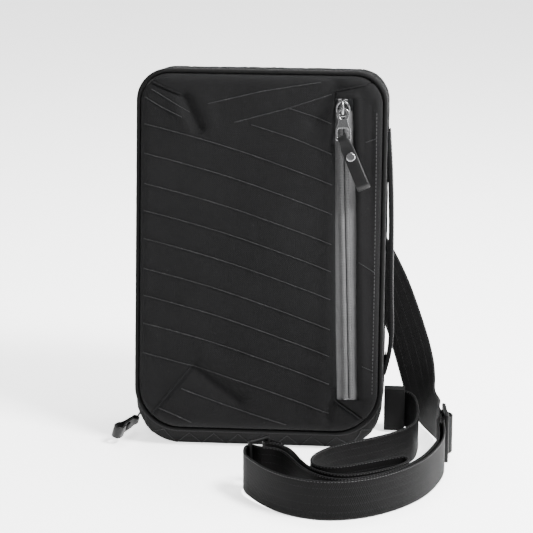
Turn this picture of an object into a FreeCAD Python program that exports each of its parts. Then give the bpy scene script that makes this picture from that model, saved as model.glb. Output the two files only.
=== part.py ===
import FreeCAD, Part
import math
import os

# Sling bag standing on its base and leaning back, with its shoulder strap heaped in front.
# Millimetres, +Z up, the front faces -Y, the origin is on the ground in the middle of the rear foot.
# The bag is drawn upright about its parting plane (y = 0) and then leant back about the X axis.
# Last of all everything moves forward, so that the origin comes under the flat of the rear gusset.

V = FreeCAD.Vector
LEAN_ANGLE = 9.0
GROUND_SLOPE = math.tan(math.radians(LEAN_ANGLE))
FOOT_SHIFT = -19.7

# Body
HALF_WIDTH = 100.5
BODY_TOP = 302.0
TOP_CORNER_RADIUS = 25.0
BOTTOM_CORNER_RADIUS = 36.0
GUSSET_WALL = 2.0
CLEAR = 0.4

# Stations of the two gussets: depth, inset from the widest outline, bottom and top height
FRONT_GUSSET_STATIONS = [
    (-31.0, 4.5, 9.8, 298.0),
    (-24.0, 0.0, -24.0 * GROUND_SLOPE, BODY_TOP),
    (-12.0, 0.0, -12.0 * GROUND_SLOPE, BODY_TOP),
    (-7.0, 3.0, 6.0, 299.0),
]
REAR_GUSSET_STATIONS = [
    (7.0, 3.0, 7.5, 299.0),
    (12.0, 0.0, 12.0 * GROUND_SLOPE, BODY_TOP),
    (27.0, 0.0, 27.0 * GROUND_SLOPE, BODY_TOP),
    (34.0, 2.5, 34.0 * GROUND_SLOPE, 299.0),
]

# Piping cord round the two face seams
PIPING_RADIUS = 2.3
PIPING_INSET = 2.9
FRONT_PIPING_DEPTH = -33.8
FRONT_PIPING_BOTTOM = 9.9
REAR_PIPING_DEPTH = 36.8
REAR_PIPING_BOTTOM = 8.6

# Front face: a thin pillow with the pocket behind it
FACE_INSET = 5.7
FACE_BOTTOM = 12.7
FACE_WALL = 1.6
FACE_BACK = -33.2
FACE_RIM = -35.0
FACE_FRONT = -39.5
FACE_CREST_INSET = 13.0
BACKING_FRONT = -34.6
BACKING_INSET = 10.4
BACKING_THICKNESS = 1.4

# Side strip of the front face, right of the pocket zipper (x, z)
STRIP_OUTLINE = [
    (59.0, 285.0),
    (82.0, 291.0),
    (106.0, 300.0),
    (106.0, 8.0),
    (86.0, 22.0),
    (64.0, 37.0),
]
SLOT_OUTLINE = [(50.0, 282.0), (73.5, 282.0), (81.5, 38.0), (50.0, 38.0)]

# Pocket zipper: hangs from its top end, tipped a little to the right
POCKET_ZIP_TOP = V(65.1, 0.0, 281.0)
POCKET_ZIP_TILT = 2.1
POCKET_ZIP_LENGTH = 243.0
COIL_WIDTH = 3.0
COIL_THICKNESS = 2.0
COIL_GAP = 0.6
TAPE_THICKNESS = 0.7
TAPE_WIDTH = 9.5
POCKET_TAPE_BACK = -36.7
POCKET_COIL_BACK = -37.8

# Main zipper: a ring in the parting plane
ZIP_INSET = 9.0
ZIP_BOTTOM = 9.0
ZIP_CORNER_RADIUS = 12.5
MAIN_TAPE_REACH = 6.6

# Zipper slider
SLIDER_LENGTH = 12.0
SLIDER_WIDTH = 11.0
SLIDER_PLATE = 1.2
SLIDER_CLEAR = 0.35
DIVIDER_THICKNESS = 0.5
BRIDGE_WIDTH = 2.6
BRIDGE_LENGTH = 9.6
BRIDGE_RISE = 2.5
BRIDGE_BAR = 1.3

# Pullers
LINK_THICKNESS = 1.6
LINK_RING_RADIUS = 5.4
LINK_RING_BAR = 1.7
LINK_LENGTH = 24.5
LINK_FRAME_HALF_WIDTH = 6.4
LINK_SIDE_BAR = 1.7
LINK_FRAME_HEIGHT = 12.5
TAB_WIDTH = 10.6
TAB_STRIP = 1.4
TAB_LENGTH = 47.0
TAB_LOOP_RADIUS = 4.2
TAB_RIVET_DROP = 15.5
TAB_NECK_WIDTH = 5.0
TAB_NECK_LENGTH = 6.5
TAB_BAR_HOLE = 2.35
TAB_TILT = 22.0
POCKET_LINK_LIFT = 5.0
POCKET_TAB_LIFT = 3.0
OVAL_RADIUS = 5.0
OVAL_LENGTH = 20.5
OVAL_WIRE = 0.8
SIDE_TAB_LENGTH = 38.0
RIVET_RADIUS = 4.0
RIVET_POST = 1.4
POCKET_SLIDER_DROP = 2.0
SIDE_SLIDER_HEIGHT = 24.0
BASE_SLIDER_X = -76.5
BACK_PLATE_GAP = 1.5

# Webbing
WEB = 32.0
WEB_THICKNESS = 1.5
STRAP_STEP = 4.0

# Fabric hinge of the cover, in the right side
HINGE_BOTTOM = 66.0
HINGE_TOP = 262.0
HINGE_GAP = 0.5
HINGE_REACH = 6.6
HINGE_INSET = 2.0
HINGE_THICKNESS = 1.2

# Linings and sleeve
LINING_INSET = 2.4
LINING_THICKNESS = 0.8
SLEEVE_FRONT = 28.6
SLEEVE_THICKNESS = 1.4
SLEEVE_TOP = 214.0

# Grab handle: inner face (x, z), and its two edges in depth
HANDLE_PATH = [
    (102.1, 252.0),
    (103.6, 236.0),
    (105.9, 200.0),
    (106.9, 150.0),
    (107.7, 110.0),
    (108.0, 76.0),
    (104.8, 61.0),
    (102.1, 52.0),
]
HANDLE_THICKNESS = 2.4
HANDLE_LOW = 9.0
HANDLE_HIGH = 30.0

# Side puller's tab: how it lies beside the corner
SIDE_RING_LIFT = 36.0
SIDE_TAB_SWING = 16.0
SIDE_TAB_DROP = 15.0
SIDE_TAB_ROLL = 21.0
SIDE_TAB_SEAT = V(4.8, 0.0, -17.0)

# Adjuster (tri-glide) and rectangular ring, standing on the ground
GLIDE_CENTRE = V(152.0, -38.0, 20.0)
GLIDE_TURN = 6.0
GLIDE_BAR_PITCH = 14.0
GLIDE_HEIGHT = 40.0
GLIDE_BAR = 3.0
RING_CENTRE = V(8.5, -116.0, 20.0)
RING_TURN = 47.0
RING_HALF_LENGTH = 10.5
RING_BAR = 3.0

# Upper strap behind the bag, down to the ground (centre, width direction)
STRAP_DROP = [
    (34.0, 86.6, 226.0, 0.86, 0.08, 0.50),
    (50.0, 82.6, 199.0, 0.86, 0.07, 0.51),
    (74.0, 78.0, 161.0, 0.87, 0.05, 0.48),
    (91.0, 74.0, 134.0, 0.89, 0.03, 0.46),
    (104.5, 70.5, 107.5, 0.91, 0.0, 0.41),
    (113.5, 68.0, 84.0, 0.93, 0.0, 0.36),
    (121.0, 65.0, 62.0, 0.94, 0.0, 0.34),
    (127.0, 58.5, 42.0, 0.88, -0.05, 0.47),
    (131.5, 48.0, 26.0, 0.70, -0.05, 0.71),
    (135.5, 35.0, 18.5, 0.44, 0.0, 0.90),
    (140.5, 18.0, 17.0, 0.28, 0.0, 0.96),
    (145.0, 0.0, 17.8, 0.14, 0.0, 0.99),
]

# Webbing through the adjuster (along it, outward from its plane)
GLIDE_PASS = [
    (-24.0, -3.6),
    (-17.0, -3.3),
    (-12.0, -2.9),
    (-8.0, 0.3),
    (-4.0, 4.0),
    (0.0, 5.3),
    (4.0, 4.0),
    (8.0, 0.3),
    (12.0, -2.9),
    (17.0, -3.3),
    (24.0, -3.4),
]
GLIDE_FOLD = [
    (24.0, -8.2),
    (14.0, -7.8),
    (8.0, -6.7),
    (1.6, -4.0),
    (-1.8, -2.9),
    (-3.3, -0.2),
    (-2.2, 2.1),
    (0.0, 2.9),
    (2.6, 2.0),
    (5.0, -1.0),
    (8.5, -4.1),
    (14.0, -5.4),
    (20.0, -5.7),
]

# Webbing on the ground (x, y, z of its centre)
FRONT_ARC = [
    (151.0, -84.0, 17.6),
    (147.0, -101.0, 16.4),
    (140.0, -121.0, 16.0),
    (129.0, -141.0, 16.0),
    (113.0, -159.5, 16.0),
    (91.0, -175.0, 16.0),
    (64.0, -181.5, 16.0),
    (38.0, -174.5, 16.0),
    (18.0, -160.0, 16.6),
    (5.0, -145.0, 18.0),
    (-0.5, -136.0, 19.0),
]
RING_BEND_MAIN = [
    (-1.9, -128.0, 19.8),
    (-1.2, -123.0, 20.0),
    (0.8, -120.0, 20.0),
    (3.2, -119.2, 20.0),
    (5.6, -120.4, 20.0),
    (9.0, -122.4, 20.0),
    (14.0, -123.2, 19.8),
    (20.0, -122.6, 19.2),
]
RETURN_RUN = [
    (27.0, -125.0, 18.2),
    (34.0, -133.5, 17.0),
    (41.0, -146.5, 16.2),
    (49.0, -159.0, 16.0),
    (60.0, -170.0, 16.0),
    (74.0, -175.3, 16.0),
    (89.5, -171.5, 16.0),
    (110.5, -156.5, 16.0),
    (126.0, -138.5, 16.0),
    (136.5, -119.0, 16.0),
    (143.2, -99.5, 16.4),
    (147.0, -83.0, 17.6),
]
LOWER_RUN = [
    (105.0, 19.0, 19.6),
    (113.0, 19.0, 19.6),
    (120.0, 17.6, 19.2),
    (125.5, 11.0, 18.4),
    (128.5, -2.0, 17.0),
    (129.8, -20.0, 16.2),
    (129.0, -36.0, 16.0),
    (126.5, -50.0, 16.0),
    (120.0, -61.5, 16.0),
    (110.0, -73.0, 16.0),
    (97.0, -84.0, 16.0),
    (81.0, -95.0, 16.0),
    (66.0, -106.5, 16.0),
    (55.5, -119.5, 16.0),
    (50.8, -132.0, 16.0),
    (51.8, -143.5, 16.0),
    (57.5, -150.0, 16.0),
    (66.5, -151.2, 16.0),
    (78.0, -147.5, 16.0),
    (92.0, -139.5, 16.0),
    (106.0, -131.0, 16.0),
    (115.5, -125.6, 16.0),
    (121.8, -124.4, 16.0),
    (124.6, -128.4, 16.0),
    (122.6, -136.0, 16.0),
    (116.0, -144.5, 16.0),
    (105.5, -153.0, 16.0),
    (92.0, -161.5, 16.0),
    (78.0, -166.5, 16.0),
    (66.0, -164.5, 16.0),
    (55.0, -157.0, 16.0),
    (46.0, -145.0, 16.2),
    (39.0, -131.0, 17.0),
    (32.0, -119.5, 18.2),
    (25.0, -115.2, 19.2),
    (18.0, -113.6, 20.0),
    (12.8, -111.8, 20.0),
    (11.2, -108.6, 20.0),
    (13.2, -105.9, 20.0),
    (16.8, -106.6, 20.0),
    (20.5, -109.2, 19.8),
    (26.0, -111.4, 19.2),
]



def lean(shape):
    """The shape leant back onto the ground with the bag."""
    leant = shape.copy()
    leant.rotate(V(0, 0, 0), V(1, 0, 0), -LEAN_ANGLE)
    return leant


def save(name, shape):
    """One STEP file for each node, moved so that the origin is under the rear foot."""
    moved = shape.copy()
    moved.translate(V(0, FOOT_SHIFT, 0))
    moved.exportStep("parts/" + name + ".step")


def prism(points, low, high):
    """Upright-plane polygon (x, z) run from depth low to depth high."""
    corners = [V(x, low, z) for x, z in points]
    wire = Part.makePolygon(corners + [corners[0]])
    return Part.Face(wire).extrude(V(0, high - low, 0))


def block(x0, x1, y0, y1, z0, z1):
    """Box between two corners."""
    return Part.makeBox(x1 - x0, y1 - y0, z1 - z0, V(x0, y0, z0))


def outline(depth, inset, bottom, top, corner=BOTTOM_CORNER_RADIUS):
    """Rounded-rectangle wire of the bag at one depth."""
    half = HALF_WIDTH - inset
    top_r = TOP_CORNER_RADIUS - inset * 0.5
    bottom_r = corner - inset * 0.5
    diagonal = math.sqrt(0.5)
    corners = [
        (half - bottom_r, bottom + bottom_r, bottom_r, 1, -1),
        (half - top_r, top - top_r, top_r, 1, 1),
        (top_r - half, top - top_r, top_r, -1, 1),
        (bottom_r - half, bottom + bottom_r, bottom_r, -1, -1),
    ]
    edges = []
    ends = []
    for x, z, r, sx, sz in corners:
        flat = V(x, depth, z + sz * r)
        side = V(x + sx * r, depth, z)
        middle = V(x + sx * r * diagonal, depth, z + sz * r * diagonal)
        first, last = (flat, side) if sx * sz < 0 else (side, flat)
        ends.append((first, middle, last))
    for i, (first, middle, last) in enumerate(ends):
        edges.append(Part.Arc(first, middle, last).toShape())
        edges.append(Part.LineSegment(last, ends[(i + 1) % len(ends)][0]).toShape())
    return Part.Wire(edges)


def outline_loft(stations):
    """Solid through a row of outlines."""
    return Part.makeLoft([outline(*s) for s in stations], True, True)


def grown_stations(stations, wall, overrun):
    """The stations moved in by a wall, with both ends run on past the wall."""
    inner = [(d, i + wall, b + wall, t - wall) for d, i, b, t in stations]
    first, last = inner[0], inner[-1]
    ahead = (first[0] - overrun,) + first[1:]
    behind = (last[0] + overrun,) + last[1:]
    return [ahead] + inner + [behind]


def gusset(stations):
    """Open ring of fabric and foam between two outlines."""
    return outline_loft(stations).cut(outline_loft(grown_stations(stations, GUSSET_WALL, 1.0)))


def ring_strip(low, high, inset, bottom, thickness):
    """Thin band round the bag, between two depths."""
    top = BODY_TOP - inset
    corner = ZIP_CORNER_RADIUS
    outer = outline_loft([(low, inset, bottom, top, corner), (high, inset, bottom, top, corner)])
    deep = (inset + thickness, bottom + thickness, top - thickness, corner)
    inner = outline_loft([(low - 1.0,) + deep, (high + 1.0,) + deep])
    return outer.cut(inner)


def piping(depth, bottom):
    """Round cord along a face seam."""
    path = outline(depth, PIPING_INSET, bottom, BODY_TOP - PIPING_INSET)
    start = path.Edges[0].Vertexes[0].Point
    section = Part.Wire([Part.makeCircle(PIPING_RADIUS, start, V(1, 0, 0))])
    return path.makePipeShell([section], True, True)


def face_solid(grow_inset, front_shift):
    """Pillow of the front face, moved in by an inset and back by a shift."""
    top = BODY_TOP - FACE_INSET
    low, high = FACE_BOTTOM + grow_inset, top - grow_inset
    crest = FACE_CREST_INSET + grow_inset
    rise = FACE_CREST_INSET - FACE_INSET
    return outline_loft([
        (FACE_BACK + front_shift, FACE_INSET + grow_inset, low, high),
        (FACE_RIM + front_shift, FACE_INSET + grow_inset, low, high),
        (FACE_FRONT + front_shift, crest, low + rise, high - rise),
    ])


def face_shell():
    """Hollow pillow, open at the back."""
    return face_solid(0.0, 0.0).cut(face_solid(FACE_WALL, FACE_WALL))


def offset_prism(points, distance, low, high):
    """Prism of a polygon moved outward by a distance."""
    corners = [V(x, low, z) for x, z in points]
    face = Part.Face(Part.makePolygon(corners + [corners[0]]))
    return face.makeOffset2D(distance).extrude(V(0, high - low, 0))


def front_panel():
    """Large ridged panel, left of the pocket zipper."""
    return face_shell().cut(offset_prism(STRIP_OUTLINE, CLEAR, -60.0, -20.0))


def front_side_strip():
    """Narrow panel right of the pocket zipper, with the zipper slot open along its left."""
    strip = face_shell().common(prism(STRIP_OUTLINE, -60.0, -20.0))
    return strip.cut(prism(SLOT_OUTLINE, -60.0, -20.0))


def pocket_backing():
    """Flat lined wall behind the front pocket."""
    low = BACKING_FRONT
    high = BACKING_FRONT + BACKING_THICKNESS
    sizes = (BACKING_INSET, FACE_BOTTOM + BACKING_INSET - FACE_INSET, BODY_TOP - BACKING_INSET)
    return outline_loft([(low,) + sizes, (high,) + sizes])


def place_pocket_zip(shape):
    """Shape drawn hanging from the zipper's top end, put in its place on the face."""
    placed = shape.copy()
    placed.rotate(V(0, 0, 0), V(0, 1, 0), -POCKET_ZIP_TILT)
    placed.translate(POCKET_ZIP_TOP)
    return placed


def pocket_tape(side):
    """Woven half tape of the pocket zipper."""
    inner, outer = side * COIL_GAP, side * TAPE_WIDTH
    x0, x1 = min(inner, outer), max(inner, outer)
    back = POCKET_TAPE_BACK
    return place_pocket_zip(block(x0, x1, back - TAPE_THICKNESS, back, -POCKET_ZIP_LENGTH, 0.0))


def pocket_coil(side):
    """Half chain of the pocket zipper."""
    inner, outer = side * COIL_GAP, side * (COIL_GAP + COIL_WIDTH)
    x0, x1 = min(inner, outer), max(inner, outer)
    back = POCKET_COIL_BACK
    length = POCKET_ZIP_LENGTH - 2.0
    return place_pocket_zip(block(x0, x1, back - COIL_THICKNESS, back, -length, -2.0))


def slider_body(lips):
    """Slider drawn about its own centre; the outside faces -Y and the chain runs along Z."""
    half_w = SLIDER_WIDTH / 2
    half_l = SLIDER_LENGTH / 2
    front = -COIL_THICKNESS / 2 - SLIDER_CLEAR
    back = COIL_THICKNESS / 2 + BACK_PLATE_GAP
    top_plate = block(-half_w, half_w, front - SLIDER_PLATE, front, -half_l, half_l)
    back_plate = block(-half_w, half_w, back, back + SLIDER_PLATE, -half_l, half_l)
    divider = block(-DIVIDER_THICKNESS / 2, DIVIDER_THICKNESS / 2, front, back, 1.0, half_l)
    body = top_plate.fuse([back_plate, divider])
    lip_reach = COIL_THICKNESS / 2 + SLIDER_CLEAR
    for side in lips:
        x0 = half_w - SLIDER_PLATE if side > 0 else -half_w
        body = body.fuse(block(x0, x0 + SLIDER_PLATE, front, lip_reach - 0.5, -half_l, half_l))
    return body.removeSplitter()


def slider_bridge():
    """Arch that holds the puller, on the outside of the slider."""
    base = -COIL_THICKNESS / 2 - SLIDER_CLEAR - SLIDER_PLATE
    half_w = BRIDGE_WIDTH / 2
    half_l = BRIDGE_LENGTH / 2
    arch = block(-half_w, half_w, base - BRIDGE_RISE - BRIDGE_BAR, base, -half_l, half_l)
    hole = block(-half_w - 1, half_w + 1, base - BRIDGE_RISE, base + 1, BRIDGE_BAR - half_l, half_l - BRIDGE_BAR)
    return arch.cut(hole)


def bridge_axis():
    """Depth of the puller's turning axis in the slider's own drawing."""
    return -COIL_THICKNESS / 2 - SLIDER_CLEAR - SLIDER_PLATE - BRIDGE_RISE / 2


def pull_link():
    """Stamped link: round eye at its top, rectangular frame at its foot; axis at the origin."""
    half_t = LINK_THICKNESS / 2
    eye_centre = V(0, -half_t, half_t - LINK_RING_RADIUS)
    eye = Part.makeCylinder(LINK_RING_RADIUS, LINK_THICKNESS, eye_centre, V(0, 1, 0))
    hole = Part.makeCylinder(LINK_RING_RADIUS - LINK_RING_BAR, LINK_THICKNESS, eye_centre, V(0, 1, 0))
    half_f = LINK_FRAME_HALF_WIDTH
    foot = -LINK_LENGTH - half_t
    frame = block(-half_f, half_f, -half_t, half_t, foot, foot + LINK_FRAME_HEIGHT)
    window_top = foot + LINK_FRAME_HEIGHT - 3.4
    window_half = half_f - LINK_SIDE_BAR
    window = block(-window_half, window_half, -half_t, half_t, foot + 1.6, window_top)
    neck_top = -2.0 * LINK_RING_RADIUS + half_t + 1.0
    neck = block(-3.2, 3.2, -half_t, half_t, foot + LINK_FRAME_HEIGHT - 0.5, neck_top)
    return eye.cut(hole).fuse([frame.cut(window), neck]).removeSplitter()


def pull_tab(length):
    """Folded strip: closed about a bar at the origin, riveted, open loop at its foot."""
    half_w = TAB_WIDTH / 2
    top_r = TAB_BAR_HOLE + TAB_STRIP - 0.2
    foot_r = TAB_LOOP_RADIUS
    foot = top_r - length + foot_r
    neck = TAB_STRIP + 0.1
    points = [V(0, neck, -5.0), V(0, neck, -TAB_RIVET_DROP - 4.0), V(0, foot_r, foot)]
    left = Part.makePolygon(points).Edges
    right = [Part.makeLine(V(0, -p.y, p.z), V(0, -q.y, q.z)) for p, q in zip(points[:-1], points[1:])]
    head = Part.Arc(points[0], V(0, 0, top_r), V(0, -neck, -5.0)).toShape()
    tail = Part.Arc(points[-1], V(0, 0, foot - foot_r), V(0, -foot_r, foot)).toShape()
    wire = Part.Wire(Part.__sortEdges__(left + right + [head, tail]))
    solid = Part.Face(wire).extrude(V(TAB_WIDTH, 0, 0))
    solid.translate(V(-half_w, 0, 0))
    bar_hole = Part.makeCylinder(TAB_BAR_HOLE, TAB_WIDTH, V(-half_w, 0, 0), V(1, 0, 0))
    half_n = TAB_NECK_WIDTH / 2
    shoulders = [block(half_n, half_w, -9.0, 9.0, -TAB_NECK_LENGTH, 9.0)]
    shoulders.append(block(-half_w, -half_n, -9.0, 9.0, -TAB_NECK_LENGTH, 9.0))
    rivet_hole = Part.makeCylinder(RIVET_POST + 0.35, 12.0, V(0, -6, -TAB_RIVET_DROP), V(0, 1, 0))
    inner_top = V(0, 0, -TAB_RIVET_DROP - 7.0)
    inner_r = foot_r - TAB_STRIP
    side_a = Part.makeLine(inner_top, V(0, inner_r, foot))
    side_b = Part.makeLine(inner_top, V(0, -inner_r, foot))
    curve = Part.Arc(V(0, inner_r, foot), V(0, 0, foot - inner_r), V(0, -inner_r, foot)).toShape()
    loop = Part.Face(Part.Wire(Part.__sortEdges__([side_a, side_b, curve]))).extrude(V(TAB_WIDTH, 0, 0))
    loop.translate(V(-half_w, 0, 0))
    return solid.cut([bar_hole, rivet_hole, loop] + shoulders)


def pull_rivet():
    """Two domed caps on a post, through the tab."""
    reach = TAB_STRIP + 0.45
    drop = -TAB_RIVET_DROP
    post = Part.makeCylinder(RIVET_POST, 2 * reach, V(0, -reach, drop), V(0, 1, 0))
    caps = []
    for side in (-1, 1):
        base = V(0, side * reach, drop)
        caps.append(Part.makeCone(RIVET_RADIUS, RIVET_RADIUS - 0.9, 1.0, base, V(0, side, 0)))
    return post.fuse(caps).removeSplitter()


def pocket_slider_place(shape):
    """Slider drawing moved to the top of the pocket zipper."""
    placed = shape.copy()
    placed.translate(V(0, POCKET_COIL_BACK - COIL_THICKNESS / 2, -POCKET_SLIDER_DROP - SLIDER_LENGTH / 2))
    return place_pocket_zip(placed)


def pocket_link_place(shape):
    """Link drawing moved to the pocket slider's bridge, resting on the chain."""
    placed = shape.copy()
    placed.rotate(V(0, 0, 0), V(1, 0, 0), -POCKET_LINK_LIFT)
    placed.translate(V(0, bridge_axis(), 0))
    return pocket_slider_place(placed)


def pocket_tab_place(shape):
    """Tab drawing hung from the foot bar of the pocket link, tipped to the right."""
    placed = shape.copy()
    placed.rotate(V(0, 0, 0), V(1, 0, 0), -POCKET_TAB_LIFT)
    placed.rotate(V(0, 0, 0), V(0, 1, 0), -TAB_TILT)
    placed.translate(V(0, 0, -LINK_LENGTH))
    return pocket_link_place(placed)


def side_slider_place(shape):
    """Slider drawing moved to the left run of the main zipper."""
    placed = shape.copy()
    placed.rotate(V(0, 0, 0), V(0, 0, 1), -90)
    placed.translate(V(ZIP_INSET + COIL_THICKNESS / 2 - HALF_WIDTH, 0, SIDE_SLIDER_HEIGHT))
    return placed


def base_slider_place(shape):
    """Slider drawing moved to the bottom run of the main zipper."""
    placed = shape.copy()
    placed.rotate(V(0, 0, 0), V(1, 0, 0), 90)
    placed.rotate(V(0, 0, 0), V(0, 0, 1), -90)
    placed.translate(V(BASE_SLIDER_X, 0, ZIP_BOTTOM + COIL_THICKNESS / 2))
    return placed


def main_tape(side):
    """Half tape of the main zipper, all round the parting plane."""
    inset = ZIP_INSET + COIL_THICKNESS + 0.3
    bottom = ZIP_BOTTOM + COIL_THICKNESS + 0.3
    low, high = sorted((side * COIL_GAP, side * MAIN_TAPE_REACH))
    return ring_strip(low, high, inset, bottom, TAPE_THICKNESS).cut(hinge_window(0.0))


def main_coil(side):
    """Half chain of the main zipper, all round the parting plane."""
    low, high = sorted((side * COIL_GAP, side * (COIL_GAP + COIL_WIDTH)))
    return ring_strip(low, high, ZIP_INSET, ZIP_BOTTOM, COIL_THICKNESS).cut(hinge_window(2.5))


def hinge_window(extra):
    """Space on the right side where fabric takes the zipper's place."""
    return block(60.0, 120.0, -20.0, 20.0, HINGE_BOTTOM - extra, HINGE_TOP + extra)


def hinge_fabric(side):
    """Half of the fabric strip that the cover turns on, beside the parting plane."""
    low, high = sorted((side * HINGE_GAP, side * HINGE_REACH))
    outer = HALF_WIDTH - HINGE_INSET
    inner = outer - HINGE_THICKNESS
    return block(inner, outer, low, high, HINGE_BOTTOM + 1.0, HINGE_TOP - 1.0)


def main_zip_stops():
    """Metal stops at the two ends of the main chain, on its rear half."""
    x0 = HALF_WIDTH - ZIP_INSET - COIL_THICKNESS
    x1 = HALF_WIDTH - ZIP_INSET
    y0, y1 = COIL_GAP, COIL_GAP + COIL_WIDTH
    lower = block(x0, x1, y0, y1, HINGE_BOTTOM - 2.1, HINGE_BOTTOM - 0.4)
    upper = block(x0, x1, y0, y1, HINGE_TOP + 0.4, HINGE_TOP + 2.1)
    return Part.makeCompound([lower, upper])


def pocket_zip_stops():
    """Stops at both ends of the pocket chain: one on each half at the top, one across the foot."""
    back = POCKET_COIL_BACK
    front = back - COIL_THICKNESS
    outer = COIL_GAP + COIL_WIDTH
    left = block(-outer, -COIL_GAP, front, back, -1.6, -0.2)
    right = block(COIL_GAP, outer, front, back, -1.6, -0.2)
    foot = block(-outer, outer, front, back, 0.2 - POCKET_ZIP_LENGTH, 1.6 - POCKET_ZIP_LENGTH)
    return place_pocket_zip(Part.makeCompound([left, right, foot]))


def lining(stations, wall_low, wall_high):
    """Thin cloth tub inside a gusset, with its flat wall between two depths."""
    inner = [(d, i + LINING_INSET, b + LINING_INSET, t - LINING_INSET) for d, i, b, t in stations]
    tub = outline_loft(inner)
    hollow = outline_loft(grown_stations(inner, LINING_THICKNESS, 1.0))
    return tub.cut(hollow.cut(block(-HALF_WIDTH, HALF_WIDTH, wall_low, wall_high, -20.0, 320.0)))


def front_lining():
    """Lining of the cover."""
    return lining([(-30.6, 4.5, 9.8, 298.0)] + FRONT_GUSSET_STATIONS[1:-1], -30.6, -29.8)


def rear_lining():
    """Lining of the back shell."""
    return lining(REAR_GUSSET_STATIONS[1:-1] + [(33.6, 2.7, 5.6, 299.0)], 32.8, 33.6)


def flat_plate(low, high, inset, bottom, top):
    """Flat board with the bag's outline."""
    return outline_loft([(low, inset, bottom, top), (high, inset, bottom, top)])


def frame_sheet():
    """Stiff board between the lining and the back pad."""
    return flat_plate(34.3, 35.8, 6.0, 12.0, BODY_TOP - 6.0)


def rear_panel():
    """Foam back pad with softened edges."""
    return outline_loft([
        (36.2, 5.7, 11.4, BODY_TOP - 5.7),
        (40.5, 5.7, 11.4, BODY_TOP - 5.7),
        (43.5, 12.0, 18.0, BODY_TOP - 12.0),
    ])


def sleeve_panel():
    """Padded divider of the tablet sleeve, open at its top."""
    plate = flat_plate(SLEEVE_FRONT, SLEEVE_FRONT + SLEEVE_THICKNESS, 5.4, 9.6, BODY_TOP - 6.0)
    return plate.cut(block(-HALF_WIDTH, HALF_WIDTH, 0.0, 60.0, SLEEVE_TOP, 320.0))


def sleeve_binding():
    """Elastic edge over the top of the sleeve."""
    half = HALF_WIDTH - 5.6
    low = SLEEVE_FRONT - 0.6
    high = SLEEVE_FRONT + SLEEVE_THICKNESS + 0.6
    return block(-half, half, low, high, SLEEVE_TOP + 0.3, SLEEVE_TOP + 5.0)


def side_handle():
    """Webbing grab handle standing off the right side."""
    path = [V(x, 0.0, z) for x, z in HANDLE_PATH]
    inner = Part.BSplineCurve()
    inner.interpolate(path)
    edge = inner.toShape()
    face_edges = []
    for shift in (0.0, HANDLE_THICKNESS):
        moved = edge.copy()
        moved.translate(V(shift, HANDLE_LOW, 0.0))
        face_edges.append(moved)
    face = Part.makeRuledSurface(face_edges[0], face_edges[1])
    return face.extrude(V(0, HANDLE_HIGH - HANDLE_LOW, 0))


def handle_patches():
    """Cloth patches under the two ends of the handle."""
    x0 = HALF_WIDTH + 0.3
    x1 = x0 + 0.9
    y0, y1 = 12.6, 26.6
    lower = block(x0, x1, y0, y1, 50.0, 68.0)
    upper = block(x0, x1, y0, y1, 236.0, 254.0)
    return Part.makeCompound([lower, upper])


def strap_anchor_tab():
    """Folded cloth tab on the lower right corner that holds the lower strap's end."""
    body = block(101.0, 118.0, 13.6, 24.0, 1.5, 37.5)
    slot = block(104.0, 119.0, 16.2, 20.6, 2.6, 36.6)
    return body.cut(slot)


def strap_anchor_patch():
    """Reinforcing patch on the back pad under the upper strap's end."""
    patch = block(8.0, 62.0, 43.9, 45.4, 205.0, 262.0)
    return patch


def row_vectors(rows):
    """Centres and width directions of a webbing path."""
    centres = [V(*row[:3]) for row in rows]
    widths = [V(*row[3:]) for row in rows]
    return centres, widths


def ribbon(rows):
    """Flat webbing through hand-placed rows (x, y, z, width direction)."""
    centres, widths = row_vectors(rows)
    knots = [0.0]
    for a, b in zip(centres[:-1], centres[1:]):
        knots.append(knots[-1] + a.distanceToPoint(b))
    path = Part.BSplineCurve()
    path.interpolate(Points=centres, Parameters=knots)
    across = Part.BSplineCurve()
    across.interpolate(Points=[c + w * WEB for c, w in zip(centres, widths)], Parameters=knots)
    sections = []
    for k0, k1 in zip(knots[:-1], knots[1:]):
        count = max(3, math.ceil((k1 - k0) / STRAP_STEP))
        steps = range(count + 1) if k1 == knots[-1] else range(count)
        sections += [k0 + (k1 - k0) * i / count for i in steps]
    wires = []
    for t in sections:
        centre = path.value(t)
        along = path.tangent(t)[0]
        width = across.value(t) - centre
        normal = along.cross(width).normalize() * (WEB_THICKNESS / 2)
        width = width.normalize() * (WEB / 2)
        corners = [centre + width + normal, centre + width - normal]
        corners += [centre - width - normal, centre - width + normal]
        wires.append(Part.makePolygon(corners + [corners[0]]))
    return Part.makeLoft(wires, True, True)


def glide_row(along, outward, height=20.0):
    """Path row given in the adjuster's own plane."""
    turn = math.radians(GLIDE_TURN)
    x = GLIDE_CENTRE.x + along * math.sin(turn) + outward * math.cos(turn)
    y = GLIDE_CENTRE.y - along * math.cos(turn) + outward * math.sin(turn)
    return (x, y, height, 0.0, 0.0, 1.0)


def upright(points):
    """Path rows of webbing that stands on its edge."""
    return [(x, y, z, 0.0, 0.0, 1.0) for x, y, z in points]


def main_strap():
    """Upper strap: back pad, ground, adjuster, front arc, ring, and back to the adjuster's bar."""
    rows = list(STRAP_DROP)
    rows += [glide_row(u, v) for u, v in GLIDE_PASS]
    rows += upright(FRONT_ARC) + upright(RING_BEND_MAIN) + upright(RETURN_RUN)
    rows += [glide_row(u, v) for u, v in GLIDE_FOLD]
    return ribbon(rows)


def lower_strap():
    """Lower strap: corner tab, two loops on the ground, and a fold round the ring."""
    return ribbon(upright(LOWER_RUN))


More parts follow.
